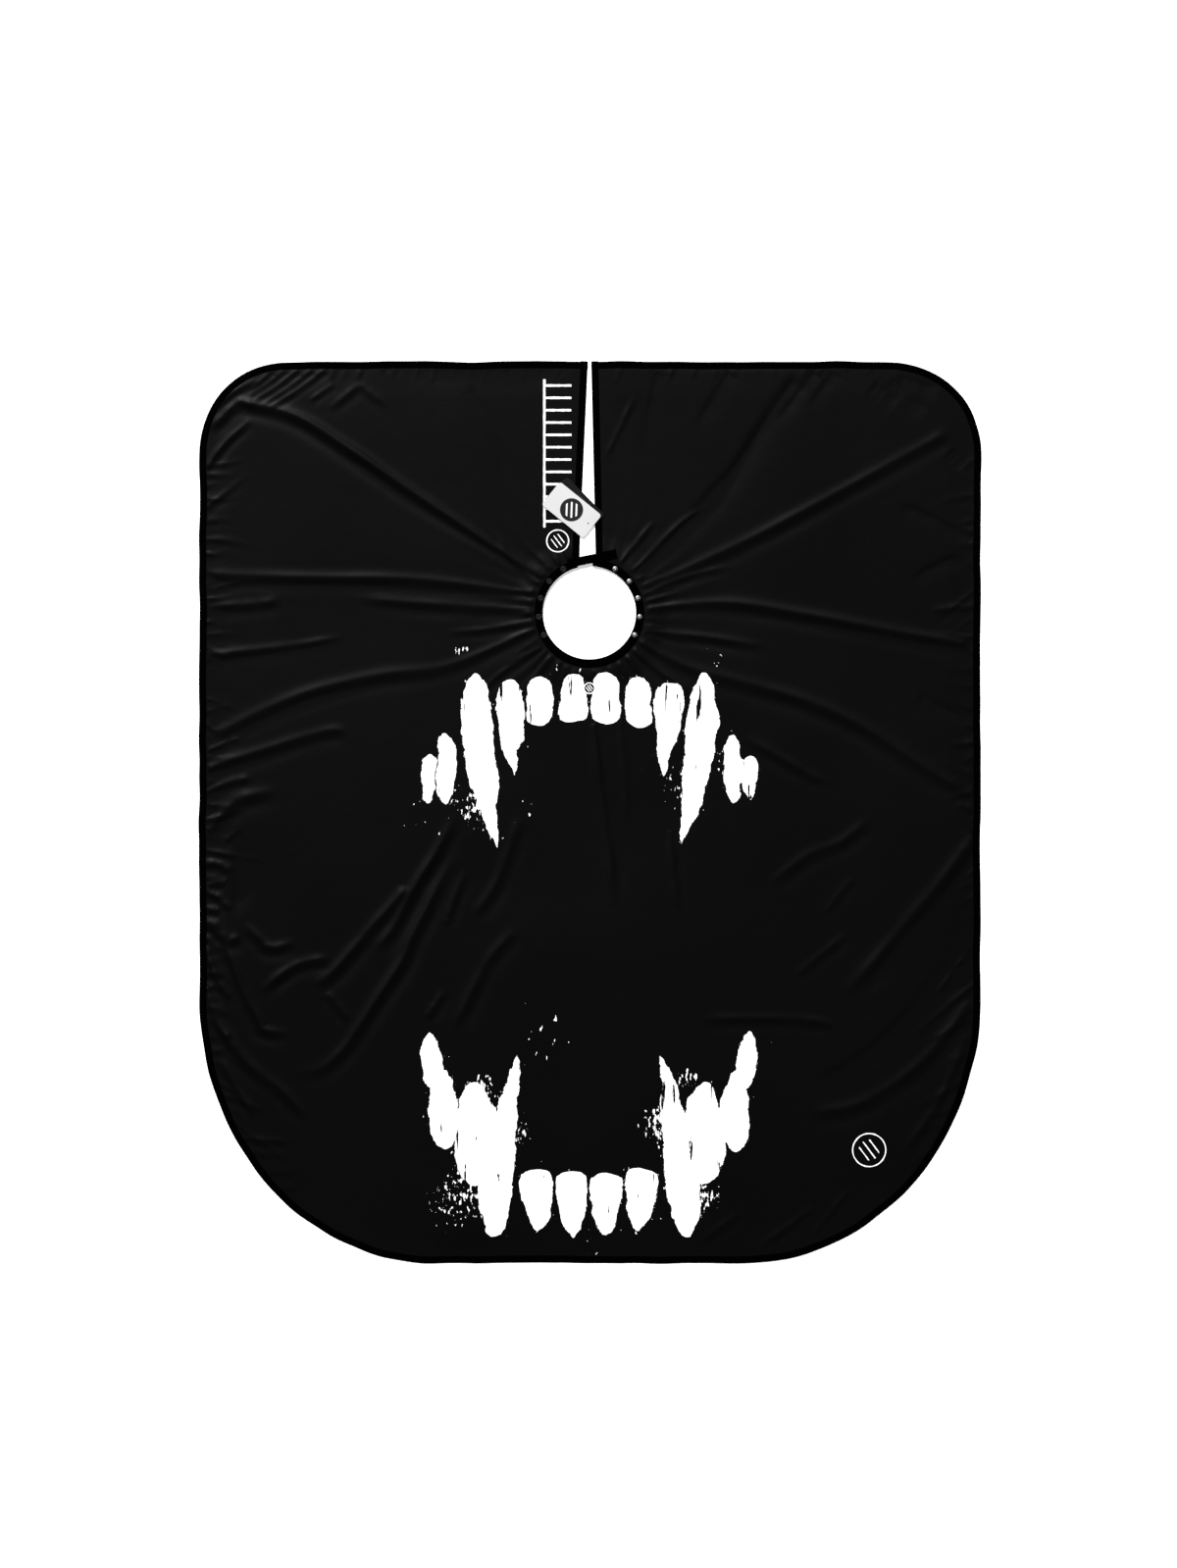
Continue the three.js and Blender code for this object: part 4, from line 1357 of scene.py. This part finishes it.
class CAPE_OT_tags(Operator):
    """Cut the white and the dark hang tag and lay them over the slit"""

    bl_idname = "cape.tags"
    bl_label = "Hang tags"

    def execute(self, context):
        settings = context.scene.cape_tags
        white = [(tone, tone, tone) for tone in (0.50, 0.010, 0.66)]
        dark = [(0.004, 0.004, 0.0042), (0.011, 0.011, 0.011), (0.003, 0.003, 0.003)]
        kinds = [
            ("white", "front", white, settings.front_lean, settings.curl, 0.0),
            ("black", "back", dark, settings.back_lean, 0.0, settings.back_shift),
        ]
        for word, place, colours, lean, curl, shift in kinds:
            pivot = JOINTS[f"tag_{place}_swing"]["pos_m"]
            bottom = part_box(f"tag_card_{place}")[0].z
            obj = card(f"{word}_hang_tag", lean, pivot, bottom, settings, curl, shift)
            material = card_finish(f"{word}_coated_card", *colours, settings)
            finish_piece(obj, f"tag_{place}", f"{word}_card", f"tag_card_{place}", material=material)
        return {"FINISHED"}


# ------------------------------------------------------------------ stage


def area_light(name, place, size, power):
    """A round soft light that points at the middle of the cape."""
    data = bpy.data.lights.new(name, "AREA")
    data.shape, data.size, data.energy = "DISK", size, power
    obj = bpy.data.objects.new(name, data)
    bpy.context.scene.collection.objects.link(obj)
    obj.location = place
    obj.rotation_euler = (-Vector(place)).to_track_quat("-Z", "Y").to_euler()
    return obj


class CAPE_OT_stage(Operator):
    """Set the camera straight above the cape, with a pale floor and soft lights"""

    bl_idname = "cape.stage"
    bl_label = "Stage"

    def execute(self, context):
        settings = context.scene.cape_stage
        data = bpy.data.cameras.new("camera")
        data.lens = settings.lens
        camera = bpy.data.objects.new("camera", data)
        context.scene.collection.objects.link(camera)
        distance = settings.view_height / 2 * settings.lens / (data.sensor_width / 2)
        camera.location = (settings.view_x, settings.view_y, distance)
        data.clip_end = 100
        context.scene.camera = camera
        deselect()
        bpy.ops.mesh.primitive_plane_add(size=60, location=(0, 0, 0))
        floor = context.object
        floor.name = "floor"
        glow = {"Emission_Color": (1, 1, 1, 1), "Emission_Strength": 0.25}
        pale = Finish("pale_floor", Roughness=0.9, Specular_IOR_Level=0.1, **glow)
        shade = pale.noise(pale.place(), 2.0)
        pale.drive(Base_Color=pale.mix(shade, (0.93, 0.93, 0.93), (0.95, 0.95, 0.95)))
        floor.data.materials.append(pale.material)
        area_light("key", (-2.8, 7.5, 7.1), 3.6, 2370)
        fill = area_light("fill", (2.6, -4.2, 4.0), 3.0, 260)
        fill.visible_glossy = False
        world = bpy.data.worlds.new("studio")
        world.use_nodes = True
        sky = world.node_tree.nodes["Background"].inputs
        sky["Color"].default_value = (1, 1, 1, 1)
        sky["Strength"].default_value = 0.03
        context.scene.world = world
        context.scene.view_settings.view_transform = "Standard"
        return {"FINISHED"}


class CAPE_PT_panel(Panel):
    """Sizes of the cape and the buttons that build it"""

    bl_label = "Barber cape"
    bl_idname = "CAPE_PT_panel"
    bl_space_type = "VIEW_3D"
    bl_region_type = "UI"
    bl_category = "Cape"

    def draw(self, context):
        scene = context.scene
        for name in SETTINGS:
            settings = getattr(scene, name)
            box = self.layout.box()
            for key in settings.__annotations__:
                box.prop(settings, key)
        for operator in OPERATORS:
            self.layout.operator(operator.bl_idname)


SETTINGS = {
    "cape_cloth": ClothSettings,
    "cape_binding": BindingSettings,
    "cape_neckband": NeckbandSettings,
    "cape_snaps": SnapSettings,
    "cape_tags": TagSettings,
    "cape_stage": StageSettings,
}
OPERATORS = [
    CAPE_OT_stage, CAPE_OT_cloth, CAPE_OT_bindings, CAPE_OT_neckband, CAPE_OT_closure_tab, CAPE_OT_snaps,
    CAPE_OT_tags,
]


def register():
    for cls in (*SETTINGS.values(), *OPERATORS, CAPE_PT_panel):
        bpy.utils.register_class(cls)
    for name, cls in SETTINGS.items():
        setattr(bpy.types.Scene, name, PointerProperty(type=cls))


def unregister():
    for name in SETTINGS:
        delattr(bpy.types.Scene, name)
    for cls in reversed((*SETTINGS.values(), *OPERATORS, CAPE_PT_panel)):
        bpy.utils.unregister_class(cls)


def declare_sheets():
    settings = bpy.context.scene.cape_cloth
    slit = (HALF_LENGTH - NECK_Y - BAND_OUTER) * abs(slit_x(1, (HALF_LENGTH + NECK_Y) / 2))
    centre_width, wing_width, length = settings.cut_x, HALF_WIDTH - settings.cut_x, 2 * HALF_LENGTH
    for word in ("left", "right"):
        centre_width * length - math.pi * BAND_OUTER**2 / 2 - slit


def main():
    register()
    for operator in OPERATORS:
        group, name = operator.bl_idname.split(".")
        getattr(getattr(bpy.ops, group), name)()
    declare_sheets()


if __name__ == "__main__":
    main()
